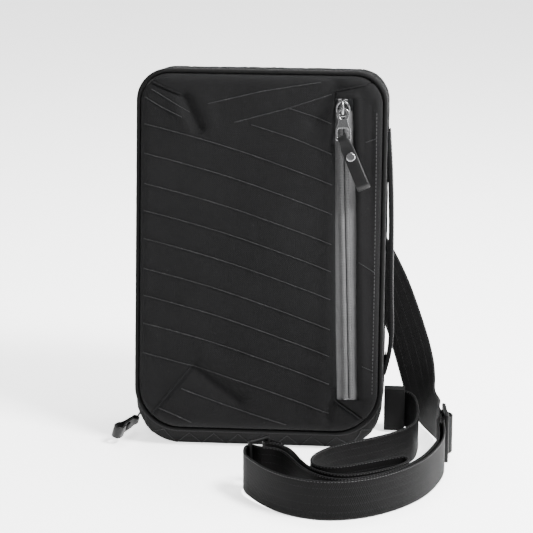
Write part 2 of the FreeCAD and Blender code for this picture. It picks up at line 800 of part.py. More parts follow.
def tri_glide():
    """Adjuster: flat frame with a middle bar."""
    half_l = GLIDE_BAR_PITCH + GLIDE_BAR / 2
    half_t = GLIDE_BAR / 2
    half_h = GLIDE_HEIGHT / 2
    frame = block(-half_t, half_t, -half_l, half_l, -half_h, half_h)
    inner_h = half_h - GLIDE_BAR
    near, far = GLIDE_BAR / 2, GLIDE_BAR_PITCH - GLIDE_BAR / 2
    for y0, y1 in ((near, far), (-far, -near)):
        frame = frame.cut(block(-half_t - 1, half_t + 1, y0, y1, -inner_h, inner_h))
    frame.rotate(V(0, 0, 0), V(0, 0, 1), GLIDE_TURN)
    frame.translate(GLIDE_CENTRE)
    return frame


def strap_ring():
    """Rectangular ring of square wire."""
    half_t = RING_BAR / 2
    half_h = GLIDE_HEIGHT / 2
    ring = block(-RING_HALF_LENGTH, RING_HALF_LENGTH, -half_t, half_t, -half_h, half_h)
    inner = RING_HALF_LENGTH - RING_BAR
    inner_h = half_h - RING_BAR
    ring = ring.cut(block(-inner, inner, -half_t - 1, half_t + 1, -inner_h, inner_h))
    ring.rotate(V(0, 0, 0), V(0, 0, 1), RING_TURN)
    ring.translate(RING_CENTRE)
    return ring


def side_link_place(shape):
    """Puller drawing moved to the side slider's bridge."""
    placed = shape.copy()
    placed.translate(V(0, bridge_axis(), 0))
    return side_slider_place(placed)


def pull_ring():
    """Oval wire ring; its top crosses the origin, where the bridge holds it."""
    r = OVAL_RADIUS
    high, low = -r, r - OVAL_LENGTH
    top = Part.Arc(V(r, 0, high), V(0, 0, 0), V(-r, 0, high)).toShape()
    left = Part.makeLine(V(-r, 0, high), V(-r, 0, low))
    foot = Part.Arc(V(-r, 0, low), V(0, 0, -OVAL_LENGTH), V(r, 0, low)).toShape()
    right = Part.makeLine(V(r, 0, low), V(r, 0, high))
    path = Part.Wire([top, left, foot, right])
    section = Part.Wire([Part.makeCircle(OVAL_WIRE, V(r, 0, high), V(0, 0, 1))])
    return path.makePipeShell([section], True, True)


def side_ring_place(shape):
    """Ring drawing swung out from the side slider's bridge, down to the ground."""
    placed = shape.copy()
    placed.rotate(V(0, 0, 0), V(1, 0, 0), -SIDE_RING_LIFT)
    return side_link_place(placed)


def side_tab_place(shape):
    """Tab drawing on the front of the side ring, on its edge, pointing forward."""
    placed = shape.copy()
    placed.rotate(V(0, 0, 0), V(0, 1, 0), SIDE_TAB_DROP - 90)
    placed.rotate(V(0, 0, 0), V(0, 0, 1), -SIDE_TAB_SWING)
    placed.rotate(V(0, 0, 0), V(1, 0, 0), SIDE_RING_LIFT - SIDE_TAB_ROLL)
    placed.translate(SIDE_TAB_SEAT)
    return side_ring_place(placed)


def base_link_place(shape):
    """Puller drawing moved to the bottom slider's bridge."""
    placed = shape.copy()
    placed.translate(V(0, bridge_axis(), 0))
    return base_slider_place(placed)


def build_nodes():
    """Every node in its place, the bag leant back and the straps on the ground."""
    bag = {
        "rear_gusset": gusset(REAR_GUSSET_STATIONS),
        "rear_piping": piping(REAR_PIPING_DEPTH, REAR_PIPING_BOTTOM),
        "rear_panel": rear_panel(),
        "rear_lining": rear_lining(),
        "frame_sheet": frame_sheet(),
        "sleeve_panel": sleeve_panel(),
        "sleeve_binding": sleeve_binding(),
        "rear_zip_tape": main_tape(1),
        "rear_zip_coil": main_coil(1),
        "main_zip_stops": main_zip_stops(),
        "hinge_fabric_rear": hinge_fabric(1),
        "hinge_fabric_front": hinge_fabric(-1),
        "side_handle": side_handle(),
        "handle_patches": handle_patches(),
        "strap_anchor_patch": strap_anchor_patch(),
        "front_gusset": gusset(FRONT_GUSSET_STATIONS),
        "front_piping": piping(FRONT_PIPING_DEPTH, FRONT_PIPING_BOTTOM),
        "front_panel": front_panel(),
        "front_side_strip": front_side_strip(),
        "pocket_backing": pocket_backing(),
        "front_lining": front_lining(),
        "front_zip_tape": main_tape(-1),
        "front_zip_coil": main_coil(-1),
        "pocket_tape_left": pocket_tape(-1),
        "pocket_tape_right": pocket_tape(1),
        "pocket_coil_left": pocket_coil(-1),
        "pocket_coil_right": pocket_coil(1),
        "pocket_zip_stops": pocket_zip_stops(),
        "pocket_slider": pocket_slider_place(slider_body((-1, 1))),
        "pocket_slider_bridge": pocket_slider_place(slider_bridge()),
        "pocket_pull_link": pocket_link_place(pull_link()),
        "pocket_pull_tab": pocket_tab_place(pull_tab(TAB_LENGTH)),
        "pocket_pull_rivet": pocket_tab_place(pull_rivet()),
        "side_slider": side_slider_place(slider_body((-1,))),
        "side_slider_bridge": side_slider_place(slider_bridge()),
        "side_pull_ring": side_ring_place(pull_ring()),
        "side_pull_tab": side_tab_place(pull_tab(SIDE_TAB_LENGTH)),
        "side_pull_rivet": side_tab_place(pull_rivet()),
        "base_slider": base_slider_place(slider_body((-1,))),
        "base_slider_bridge": base_slider_place(slider_bridge()),
        "base_pull_link": base_link_place(pull_link()),
    }
    nodes = {name: lean(shape) for name, shape in bag.items()}
    nodes["strap_anchor_tab"] = strap_anchor_tab()
    nodes["main_strap"] = main_strap()
    nodes["lower_strap"] = lower_strap()
    nodes["tri_glide"] = tri_glide()
    nodes["strap_ring"] = strap_ring()
    return nodes


def main():
    """Write every node."""
    os.makedirs("parts", exist_ok=True)
    for name, shape in build_nodes().items():
        save(name, shape)


main()
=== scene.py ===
"""Sling bag: cloth shell, pocket, zippers, handle and strap, dressed on the CAD frame."""
import logging
import math
from collections.abc import Callable
from dataclasses import dataclass
from enum import Enum

import bmesh
import bpy
from mathutils import Matrix, Vector, noise
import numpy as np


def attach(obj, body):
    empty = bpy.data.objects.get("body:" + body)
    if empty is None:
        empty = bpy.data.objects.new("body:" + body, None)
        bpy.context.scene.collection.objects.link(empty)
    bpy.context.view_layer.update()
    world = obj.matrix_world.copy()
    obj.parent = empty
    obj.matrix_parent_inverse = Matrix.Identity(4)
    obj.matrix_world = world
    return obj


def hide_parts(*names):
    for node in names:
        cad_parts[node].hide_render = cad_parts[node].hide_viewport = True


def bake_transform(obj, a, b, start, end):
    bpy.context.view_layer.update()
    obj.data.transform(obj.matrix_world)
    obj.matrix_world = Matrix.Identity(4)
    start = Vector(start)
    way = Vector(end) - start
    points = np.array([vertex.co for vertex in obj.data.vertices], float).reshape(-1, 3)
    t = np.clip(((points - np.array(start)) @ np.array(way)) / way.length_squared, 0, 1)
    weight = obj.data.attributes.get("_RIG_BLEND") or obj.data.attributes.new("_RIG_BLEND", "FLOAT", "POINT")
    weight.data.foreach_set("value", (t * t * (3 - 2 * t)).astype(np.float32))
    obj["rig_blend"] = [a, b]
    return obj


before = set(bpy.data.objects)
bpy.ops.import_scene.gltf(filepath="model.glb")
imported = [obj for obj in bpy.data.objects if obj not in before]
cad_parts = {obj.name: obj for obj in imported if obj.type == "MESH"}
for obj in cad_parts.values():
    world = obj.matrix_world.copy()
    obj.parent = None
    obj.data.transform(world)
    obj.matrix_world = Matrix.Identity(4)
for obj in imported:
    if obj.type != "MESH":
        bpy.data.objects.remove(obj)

LOG = logging.getLogger("sling_bag")
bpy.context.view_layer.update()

MM = 0.001
LEAN = math.radians(9.0)
FOOT_SHIFT = Vector((0.0, -19.7, 0.0))
HALF_WIDTH = 100.5
BODY_TOP = 302.0
TOP_CORNER = 25.0
BOTTOM_CORNER = 36.0
WEB = 32.0
WELD = 1e-7
Point = tuple[float, ...]
Row = list[Vector]
Profile = Callable[[float], float]


class Body(str, Enum):
    """Moving bodies of the frame."""

    SHELL = "back_shell"
    COVER = "cover"
    POCKET_RUNNER = "pocket_runner"
    POCKET_LINK = "pocket_link"
    POCKET_TAB = "pocket_tab"
    SIDE_RUNNER = "side_runner"
    SIDE_RING = "side_ring"
    SIDE_TAB = "side_tab"
    BASE_RUNNER = "base_runner"
    BASE_LINK = "base_link"


class Slot(str, Enum):
    """Material slots of the record."""

    SHELL = "shell_cloth"
    BACK = "back_mesh"
    LINING = "lining_cloth"
    ELASTIC = "elastic"
    BOARD = "frame_plastic"
    TAPE = "zip_tape"
    COIL = "zip_coil"
    NICKEL = "nickel"
    GLIDE = "glide_metal"
    TAB = "tab_leather"
    WEBBING = "webbing"


def lean(x: float, y: float, z: float) -> Vector:
    """Place a point of the upright bag, leant back onto the ground.

    Args:
        x: Sideways, in millimetres.
        y: Depth from the parting plane, in millimetres.
        z: Height along the bag, in millimetres.

    Returns:
        The point in the row frame, in metres.
    """
    return (lean_way(x, y, z) + FOOT_SHIFT) * MM


def lean_way(x: float, y: float, z: float) -> Vector:
    """Direction of the upright bag, turned with it."""
    cos, sin = math.cos(LEAN), math.sin(LEAN)
    return Vector((x, y * cos + z * sin, z * cos - y * sin))


def smooth(value: float) -> float:
    """Ease a value from 0 to 1."""
    t = min(1.0, max(0.0, value))
    return t * t * (3.0 - 2.0 * t)


def between(value: float, points: list[Point]) -> float:
    """Read a broken line, held at both its ends.

    Args:
        value: Where to read.
        points: The line's (input, output) points, inputs rising.

    Returns:
        The output there.
    """
    if value <= points[0][0]:
        return points[0][1]
    for (a, fa), (b, fb) in zip(points[:-1], points[1:]):
        if value <= b:
            return fa + (fb - fa) * (value - a) / (b - a)
    return points[-1][1]


def half_span(z: float, inset: float, bottom: float, top: float) -> float:
    """Half width of the bag's rounded outline at a height.

    Args:
        z: Height, in millimetres.
        inset: How far the outline is drawn in.
        bottom: Height of its lowest edge.
        top: Height of its top edge.

    Returns:
        The half width, in millimetres.
    """
    half = HALF_WIDTH - inset
    top_r = TOP_CORNER - inset * 0.5
    low_r = BOTTOM_CORNER - inset * 0.5
    if z > top - top_r:
        return half - top_r + math.sqrt(max(0.0, top_r**2 - (z - top + top_r) ** 2))
    if z < bottom + low_r:
        return half - low_r + math.sqrt(max(0.0, low_r**2 - (bottom + low_r - z) ** 2))
    return half


def edge_distance(x: float, z: float, inset: float, bottom: float, top: float) -> float:
    """Distance in from the bag's rounded outline.

    Args:
        x: Sideways place, in millimetres.
        z: Height, in millimetres.
        inset: How far the outline is drawn in.
        bottom: Height of its lowest edge.
        top: Height of its top edge.

    Returns:
        The distance, in millimetres; less than 0 outside.
    """
    half = HALF_WIDTH - inset
    middle = (bottom + top) / 2
    radius = (TOP_CORNER if z > middle else BOTTOM_CORNER) - inset * 0.5
    qx = abs(x) - half + radius
    qz = abs(z - middle) - (top - bottom) / 2 + radius
    outside = math.hypot(max(qx, 0.0), max(qz, 0.0))
    return radius - outside - min(max(qx, qz), 0.0)


@dataclass(frozen=True)
class OutlineLoop:
    """Points round the bag's rounded outline, with their outward directions."""

    inset: float
    bottom: float
    top: float
    low_corner: float = BOTTOM_CORNER
    arc_steps: int = 14
    side_steps: int = 60
    end_steps: int = 36

    def points(self) -> list[tuple[float, float, float, float]]:
        """List (x, z, outward x, outward z) anticlockwise from the lower right corner."""
        half = HALF_WIDTH - self.inset
        high_r = TOP_CORNER - self.inset * 0.5
        low_r = self.low_corner - self.inset * 0.5
        corners = [
            (half - low_r, self.bottom + low_r, low_r, -90.0, self.side_steps),
            (half - high_r, self.top - high_r, high_r, 0.0, self.end_steps),
            (high_r - half, self.top - high_r, high_r, 90.0, self.side_steps),
            (low_r - half, self.bottom + low_r, low_r, 180.0, self.end_steps),
        ]
        loop = []
        for i, (cx, cz, r, start, run) in enumerate(corners):
            for k in range(self.arc_steps + 1):
                angle = math.radians(start + 90.0 * k / self.arc_steps)
                nx, nz = math.cos(angle), math.sin(angle)
                loop.append((cx + r * nx, cz + r * nz, nx, nz))
            nx, nz = loop[-1][2], loop[-1][3]
            ox, oz, other, begin, _ = corners[(i + 1) % 4]
            angle = math.radians(begin)
            end = (ox + other * math.cos(angle), oz + other * math.sin(angle))
            x0, z0 = loop[-1][0], loop[-1][1]
            for k in range(1, run):
                t = k / run
                loop.append((x0 + (end[0] - x0) * t, z0 + (end[1] - z0) * t, nx, nz))
        return loop


class Draft:
    """A mesh being drawn, in metres of the row frame."""

    def __init__(self) -> None:
        """Start with nothing drawn."""
        self.points: list[Vector] = []
        self.faces: list[list[int]] = []
        self.uvs: list[list[Point]] = []

    def grid(self, rows: list[Row], uvs: list[list[Point]] | None = None, loop_u: bool = False,
             loop_v: bool = False) -> list[list[int]]:
        """Add a sheet of quads through rows of points.

        Args:
            rows: Rows of points, all of one length.
            uvs: Pattern coordinates of the points, in metres.
            loop_u: Join each row's end to its start.
            loop_v: Join the last row to the first.

        Returns:
            The points' numbers, row by row.
        """
        numbers = []
        for row in rows:
            first = len(self.points)
            self.points += row
            numbers.append(list(range(first, first + len(row))))
        height, width = len(rows), len(rows[0])
        for j in range(height if loop_v else height - 1):
            for i in range(width if loop_u else width - 1):
                corners = [(j, i), (j, i + 1), (j + 1, i + 1), (j + 1, i)]
                self.faces.append([numbers[a % height][b % width] for a, b in corners])
                if uvs:
                    self.uvs.append([uvs[a % height][b % width] for a, b in corners])
        return numbers

    def face(self, numbers: list[int]) -> None:
        """Add one face."""
        self.faces.append(numbers)
        if self.uvs:
            self.uvs.append([self.uvs[-1][0]] * len(numbers))

    def rim(self, front: list[int], back: list[int]) -> None:
        """Close the edge between a front sheet and its back."""
        for a, b, c, d in zip(front, front[1:] + front[:1], back[1:] + back[:1], back):
            self.face([a, b, c, d])

    def slab(self, front: list[Row], back: list[Row]) -> None:
        """Add a sheet, its back and the edge between them.

        Args:
            front: Rows of the front's points.
            back: Rows of the back's points, of the same size.
        """
        edges = []
        for numbers in (self.grid(front), self.grid(back)):
            side = [row[-1] for row in numbers[1:-1]]
            other = [row[0] for row in numbers[-2:0:-1]]
            edges.append(numbers[0] + side + numbers[-1][::-1] + other)
        self.rim(*edges)

    def bar(self, rows: list[Row], uvs: list[list[Point]] | None = None) -> None:
        """Add a bar through closed sections, with both its ends shut."""
        numbers = self.grid(rows, uvs, loop_u=True)
        self.face(numbers[0])
        self.face(numbers[-1][::-1])

    def make(self, name: str, material: bpy.types.Material, sharp: float = 40.0) -> bpy.types.Object:
        """Turn the drawing into an object.

        Args:
            name: The piece's name.
            material: Its finish.
            sharp: Angle in degrees over which an edge stays crisp.

        Returns:
            The new object.
        """
        mesh = bpy.data.meshes.new(name)
        mesh.from_pydata([tuple(p) for p in self.points], [], self.faces)
        if self.uvs:
            layer = mesh.uv_layers.new(name="UVMap")
            flat = [c for face in self.uvs for uv in face for c in uv]
            layer.data.foreach_set("uv", flat)
        build = bmesh.new()
        build.from_mesh(mesh)
        bmesh.ops.remove_doubles(build, verts=build.verts, dist=WELD)
        bmesh.ops.recalc_face_normals(build, faces=build.faces)
        build.to_mesh(mesh)
        build.free()
        return present(name, mesh, material, sharp)


def present(name: str, mesh: bpy.types.Mesh, material: bpy.types.Material,
            sharp: float = 40.0) -> bpy.types.Object:
    """Show a mesh as a smooth-shaded object of one finish.

    Args:
        name: The piece's name.
        mesh: Its mesh.
        material: Its finish.
        sharp: Angle in degrees over which an edge stays crisp.

    Returns:
        The new object.
    """
    mesh.materials.clear()
    mesh.materials.append(material)
    mesh.shade_smooth()
    mesh.set_sharp_from_angle(angle=math.radians(sharp))
    piece = bpy.data.objects.new(name, mesh)
    bpy.context.scene.collection.objects.link(piece)
    return piece


def fit(piece: bpy.types.Object, body: Body, slot: Slot, *nodes: str) -> None:
    """Put a piece on its body and hide the CAD nodes it stands for.

    Args:
        piece: The piece.
        body: The body it rides on.
        slot: Its material slot; not used.
        nodes: The CAD nodes it replaces, if any.
    """
    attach(piece, body.value)
    if nodes:
        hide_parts(*nodes)
    LOG.info("%s rides on %s: %d faces", piece.name, body.value, len(piece.data.polygons))


def softened(node: str, name: str, material: bpy.types.Material, bevel: float,
             segments: int = 2) -> bpy.types.Object:
    """Copy a CAD node with its edges eased.

    Args:
        node: The CAD node.
        name: The new piece's name.
        material: Its finish.
        bevel: Width of the eased edges, in millimetres.
        segments: Steps across an eased edge.

    Returns:
        The new piece.
    """
    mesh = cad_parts[node].data.copy()
    build = bmesh.new()
    build.from_mesh(mesh)
    bmesh.ops.remove_doubles(build, verts=build.verts, dist=2e-6)
    bmesh.ops.dissolve_limit(build, angle_limit=math.radians(1.0), verts=build.verts, edges=build.edges)
    crisp = [e for e in build.edges if e.is_manifold and e.calc_face_angle(0.0) > math.radians(30.0)]
    bmesh.ops.bevel(build, geom=crisp, offset=bevel * MM, segments=segments, affect="EDGES",
                    profile=0.5, clamp_overlap=True)
    build.to_mesh(mesh)
    build.free()
    for attribute in [a.name for a in mesh.attributes if a.name.startswith("custom_normal")]:
        mesh.attributes.remove(mesh.attributes[attribute])
    return present(name, mesh, material, 35.0)


# ---------------------------------------------------------------- shader groups and finishes


def put(tree: bpy.types.NodeTree, kind: str, *values: object, **settings: object) -> bpy.types.Node:
    """Add a node, set its properties, and fill its first inputs with values or links."""
    node = tree.nodes.new(kind)
    for key, value in settings.items():
        setattr(node, key, value)
    for socket, value in zip(node.inputs, values):
        if isinstance(value, bpy.types.NodeSocket):
            tree.links.new(value, socket)
        elif value is not None:
            socket.default_value = value
    return node


def maths(tree: bpy.types.NodeTree, operation: str, *values: object) -> bpy.types.NodeSocket:
    """Add a Math node and give its result."""
    return put(tree, "ShaderNodeMath", *values, operation=operation).outputs[0]


def new_group(name: str, inputs: list[tuple[str, str]], outputs: list[str]) -> tuple:
    """Start a shader node group with named sockets.

    Args:
        name: The group's name.
        inputs: Name and socket type of each input.
        outputs: Name of each output, all numbers.

    Returns:
        The group, its input sockets and its output node.
    """
    group = bpy.data.node_groups.new(name, "ShaderNodeTree")
    for label, kind in inputs:
        group.interface.new_socket(name=label, in_out="INPUT", socket_type=kind)
    for label in outputs:
        group.interface.new_socket(name=label, in_out="OUTPUT", socket_type="NodeSocketFloat")
    entry = group.nodes.new("NodeGroupInput")
    leave = group.nodes.new("NodeGroupOutput")
    return group, entry.outputs, leave


def weave_group() -> bpy.types.NodeTree:
    """Plain weave with uneven threads: height of the threads and tone of the cloth."""
    group, given, leave = new_group(
        "plain_weave",
        [("Place", "NodeSocketVector"), ("Threads per metre", "NodeSocketFloat")],
        ["Height", "Tone"],
    )
    scaled = put(group, "ShaderNodeVectorMath", given[0], operation="SCALE")
    group.links.new(given[1], scaled.inputs["Scale"])
    axes = put(group, "ShaderNodeSeparateXYZ", scaled.outputs[0]).outputs
    u = maths(group, "ADD", axes[0], axes[1])
    v = maths(group, "ADD", axes[2], maths(group, "MULTIPLY", axes[1], 0.35))
    warp = maths(group, "ABSOLUTE", maths(group, "SINE", maths(group, "MULTIPLY", u, math.pi)))
    weft = maths(group, "ABSOLUTE", maths(group, "SINE", maths(group, "MULTIPLY", v, math.pi)))
    steps = maths(group, "ADD", maths(group, "FLOOR", u), maths(group, "FLOOR", v))
    over = maths(group, "FLOORED_MODULO", steps, 2.0)
    height = put(group, "ShaderNodeMix", over, None, warp, weft)
    tones = []
    for stretch in ((0.8, 0.13), (0.15, 0.7)):
        place = put(group, "ShaderNodeCombineXYZ", maths(group, "MULTIPLY", u, stretch[0]), 0.0,
                    maths(group, "MULTIPLY", v, stretch[1])).outputs[0]
        slub = put(group, "ShaderNodeTexNoise", place, None, 1.0, 2.0, 0.6)
        tones.append(slub.outputs[0])
    tone = maths(group, "MULTIPLY", maths(group, "ADD", tones[0], tones[1]), 0.5)
    tone = put(group, "ShaderNodeMapRange", tone, 0.34, 0.66, 0.0, 1.0).outputs[0]
    group.links.new(height.outputs[0], leave.inputs[0])
    group.links.new(tone, leave.inputs[1])
    return group


def wear_group() -> bpy.types.NodeTree:
    """Handling marks: soft blotches and a few bright lint specks."""
    group, given, leave = new_group(
        "handling_marks",
        [("Place", "NodeSocketVector"), ("Blotch scale", "NodeSocketFloat")],
        ["Blotch", "Lint"],
    )
    blotch = put(group, "ShaderNodeTexNoise", given[0], None, given[1], 4.0, 0.6)
    soft = put(group, "ShaderNodeMapRange", blotch.outputs[0], 0.3, 0.7, 0.0, 1.0)
    lint = put(group, "ShaderNodeTexNoise", given[0], None, 420.0, 1.0, 0.5)
    specks = put(group, "ShaderNodeMapRange", lint.outputs[0], 0.74, 0.8, 0.0, 1.0)
    group.links.new(soft.outputs[0], leave.inputs[0])
    group.links.new(specks.outputs[0], leave.inputs[1])
    return group


def grain_group() -> bpy.types.NodeTree:
    """Fine pebbled grain of coated leather and moulded or plated parts."""
    group, given, leave = new_group(
        "fine_grain",
        [("Place", "NodeSocketVector"), ("Cells per metre", "NodeSocketFloat")],
        ["Height", "Tone"],
    )
    cells = put(group, "ShaderNodeTexVoronoi", given[0], None, given[1], feature="SMOOTH_F1")
    cells.inputs["Smoothness"].default_value = 0.5
    cloud = put(group, "ShaderNodeTexNoise", given[0], None, given[1], 3.0, 0.6)
    height = maths(group, "ADD", cells.outputs["Distance"], maths(group, "MULTIPLY", cloud.outputs[0], 0.6))
    group.links.new(height, leave.inputs[0])
    group.links.new(cloud.outputs[0], leave.inputs[1])
    return group


@dataclass
class Groups:
    """The effects that several finishes share."""

    weave: bpy.types.NodeTree
    wear: bpy.types.NodeTree
    grain: bpy.types.NodeTree


class MaterialBench:
    """One material's nodes while it is put together."""

    def __init__(self, name: str, groups: Groups, from_uv: bool = False) -> None:
        """Start a material whose patterns read Object coordinates or the piece's own UV map."""
        self.material = bpy.data.materials.new(name)
        self.material.use_nodes = True
        self.tree = self.material.node_tree
        self.groups = groups
        self.shader = self.tree.nodes["Principled BSDF"]
        place = self.tree.nodes.new("ShaderNodeTexCoord")
        if from_uv:
            axes = put(self.tree, "ShaderNodeSeparateXYZ", place.outputs["UV"]).outputs
            self.across, self.along = axes[0], axes[1]
            self.place = put(self.tree, "ShaderNodeCombineXYZ", axes[0], 0.0, axes[1]).outputs[0]
        else:
            turned = put(self.tree, "ShaderNodeMapping", place.outputs["Object"])
            turned.inputs["Rotation"].default_value = (LEAN, 0.0, 0.0)
            self.place = turned.outputs[0]

    def group(self, tree: bpy.types.NodeTree, value: float) -> bpy.types.bpy_prop_collection:
        """Place a shared group with its one number; gives its outputs."""
        node = put(self.tree, "ShaderNodeGroup", node_tree=tree)
        self.tree.links.new(self.place, node.inputs[0])
        node.inputs[1].default_value = value
        return node.outputs

    def blend(self, factor: object, low: object, high: object) -> bpy.types.NodeSocket:
        """Mix two colours by a factor."""
        node = put(self.tree, "ShaderNodeMix", factor, data_type="RGBA")
        for socket, value in zip((node.inputs[6], node.inputs[7]), (low, high)):
            if isinstance(value, bpy.types.NodeSocket):
                self.tree.links.new(value, socket)
            else:
                socket.default_value = (*value, 1.0)
        return node.outputs[2]

    def colour(self, socket: bpy.types.NodeSocket) -> None:
        """Feed the base colour."""
        self.tree.links.new(socket, self.shader.inputs["Base Color"])

    def roughness(self, factor: bpy.types.NodeSocket, low: float, high: float) -> None:
        """Feed the roughness from a mask."""
        spread = put(self.tree, "ShaderNodeMapRange", factor, 0.0, 1.0, low, high)
        self.tree.links.new(spread.outputs[0], self.shader.inputs["Roughness"])

    def bump(self, height: bpy.types.NodeSocket, strength: float, distance: float) -> None:
        """Feed the normal from a height."""
        node = put(self.tree, "ShaderNodeBump", strength, distance * MM)
        self.tree.links.new(height, node.inputs["Height"])
        self.tree.links.new(node.outputs[0], self.shader.inputs["Normal"])

    def fix(self, specular: float, **values: float) -> None:
        """Set constants on the shader's own sockets."""
        self.shader.inputs["Specular IOR Level"].default_value = specular
        for key, value in values.items():
            self.shader.inputs[key.replace("_", " ")].default_value = value


@dataclass(frozen=True)
class ClothFinish:
    """Woven shell, lining or elastic cloth."""

    name: str
    dark: Point
    light: Point
    threads: float = 1150.0
    sheen: float = 0.25
    rough: Point = (0.62, 0.8)
    bump: float = 0.35
    blotch: float = 18.0
    specular: float = 0.12

    def build(self, groups: Groups) -> bpy.types.Material:
        """Make the material."""
        bench = MaterialBench(self.name, groups)
        weave = bench.group(groups.weave, self.threads)
        wear = bench.group(groups.wear, self.blotch)
        tree = bench.tree
        tone = maths(tree, "ADD", maths(tree, "MULTIPLY", weave["Tone"], 0.7),
                     maths(tree, "MULTIPLY", wear["Blotch"], 0.3))
        thread = maths(tree, "MULTIPLY", weave["Height"], 0.25)
        shade = maths(tree, "ADD", maths(tree, "MULTIPLY", tone, 0.75), thread)
        base = bench.blend(shade, self.dark, self.light)
        lint = tuple(min(1.0, c * 2.2) for c in self.light)
        bench.colour(bench.blend(maths(tree, "MULTIPLY", wear["Lint"], 0.6), base, lint))
        bench.roughness(tone, *self.rough)
        height = maths(tree, "ADD", weave["Height"], maths(tree, "MULTIPLY", weave["Tone"], 0.8))
        bench.bump(height, self.bump, 0.25)
        bench.fix(self.specular, Sheen_Weight=self.sheen, Sheen_Roughness=0.45)
        return bench.material


@dataclass(frozen=True)
class WebbingFinish:
    """Ribbed webbing with fine lengthwise dotted yarns."""

    name: str
    dark: Point
    light: Point
    width: float
    phase: float = 0.0

    def build(self, groups: Groups) -> bpy.types.Material:
        """Make the material."""
        bench = MaterialBench(self.name, groups, from_uv=True)
        tree = bench.tree
        weave = bench.group(groups.weave, 1400.0)
        wear = bench.group(groups.wear, 22.0)
        slope = maths(tree, "ADD", bench.along, maths(tree, "MULTIPLY", bench.across, 0.45))
        rib = maths(tree, "SINE", maths(tree, "MULTIPLY", slope, 2 * math.pi * 620.0))
        rib = maths(tree, "MULTIPLY_ADD", rib, 0.5, 0.5)
        dots = maths(tree, "SINE", maths(tree, "MULTIPLY", bench.along, 2 * math.pi * 330.0))
        lanes = 2 * math.pi * 5.0 / (self.width * MM)
        lane = maths(tree, "MULTIPLY_ADD", bench.across, lanes, self.phase)
        lane = maths(tree, "COSINE", lane)
        lane = put(tree, "ShaderNodeMapRange", lane, 0.93, 1.0, 0.0, 1.0).outputs[0]
        dotted = maths(tree, "MULTIPLY", lane, maths(tree, "GREATER_THAN", dots, 0.1))
        shade = maths(tree, "ADD", maths(tree, "MULTIPLY", rib, 0.35),
                      maths(tree, "MULTIPLY", wear["Blotch"], 0.4))
        shade = maths(tree, "ADD", shade, maths(tree, "MULTIPLY", weave["Tone"], 0.25))
        base = bench.blend(shade, self.dark, self.light)
        bright = tuple(c * 5.0 for c in self.light)
        bench.colour(bench.blend(maths(tree, "MULTIPLY", dotted, 0.7), base, bright))
        bench.roughness(shade, 0.5, 0.65)
        height = maths(tree, "SUBTRACT", maths(tree, "ADD", rib, weave["Height"]),
                       maths(tree, "MULTIPLY", lane, 0.8))
        bench.bump(height, 0.6, 0.25)
        bench.fix(0.07, Sheen_Weight=0.01, Sheen_Roughness=0.35)
        return bench.material


@dataclass(frozen=True)
class SolidFinish:
    """Plated metal, satin black fittings, coated leather, thread or board."""

    name: str
    dark: Point
    light: Point
    metallic: float = 0.0
    rough: Point = (0.4, 0.6)
    cells: float = 900.0
    bump: float = 0.1
    sheen: float = 0.0
    specular: float = 0.4

    def build(self, groups: Groups) -> bpy.types.Material:
        """Make the material."""
        bench = MaterialBench(self.name, groups)
        tree = bench.tree
        grain = bench.group(groups.grain, self.cells)
        wear = bench.group(groups.wear, 120.0)
        marks = maths(tree, "MULTIPLY", wear["Blotch"], 0.5)
        shade = maths(tree, "MULTIPLY_ADD", grain["Tone"], 0.5, marks)
        bench.colour(bench.blend(shade, self.dark, self.light))
        bench.roughness(shade, *self.rough)
        bench.bump(grain["Height"], self.bump, 0.15)
        bench.fix(self.specular, Metallic=self.metallic, Sheen_Weight=self.sheen)
        return bench.material


@dataclass(frozen=True)
class AirMeshFinish:
    """Spacer mesh of the back pad, with rows of small open cells."""

    name: str
    dark: Point
    light: Point
    cells: float = 260.0

    def build(self, groups: Groups) -> bpy.types.Material:
        """Make the material."""
        bench = MaterialBench(self.name, groups)
        tree = bench.tree
        axes = put(tree, "ShaderNodeSeparateXYZ", bench.place).outputs
        u = maths(tree, "MULTIPLY", axes[0], math.pi * self.cells)
        v = maths(tree, "MULTIPLY", axes[2], math.pi * self.cells * 0.6)
        net = maths(tree, "MULTIPLY", maths(tree, "SINE", maths(tree, "ADD", u, v)),
                    maths(tree, "SINE", maths(tree, "SUBTRACT", u, v)))
        net = maths(tree, "ABSOLUTE", net)
        open_cell = put(tree, "ShaderNodeMapRange", net, 0.25, 0.6, 1.0, 0.0).outputs[0]
        weave = bench.group(groups.weave, 1800.0)
        thread = maths(tree, "MULTIPLY_ADD", weave["Tone"], 0.5, 0.5)
        lit = maths(tree, "MULTIPLY", open_cell, thread)
        bench.colour(bench.blend(lit, self.dark, self.light))
        bench.roughness(open_cell, 0.9, 0.6)
        bench.bump(open_cell, 0.8, 0.8)
        bench.fix(0.1, Sheen_Weight=0.08, Sheen_Roughness=0.4)
        return bench.material


@dataclass
class Wardrobe:
    """Every finish of the bag, made once."""

    shell: bpy.types.Material
    gusset: bpy.types.Material
    ridge: bpy.types.Material
    lining: bpy.types.Material
    elastic: bpy.types.Material
    board: bpy.types.Material
    tape: bpy.types.Material
    dark_tape: bpy.types.Material
    coil: bpy.types.Material
    pocket_coil: bpy.types.Material
    nickel: bpy.types.Material
    dark_metal: bpy.types.Material
    leather: bpy.types.Material
    webbing: bpy.types.Material
    handle: bpy.types.Material
    thread: bpy.types.Material
    back: bpy.types.Material


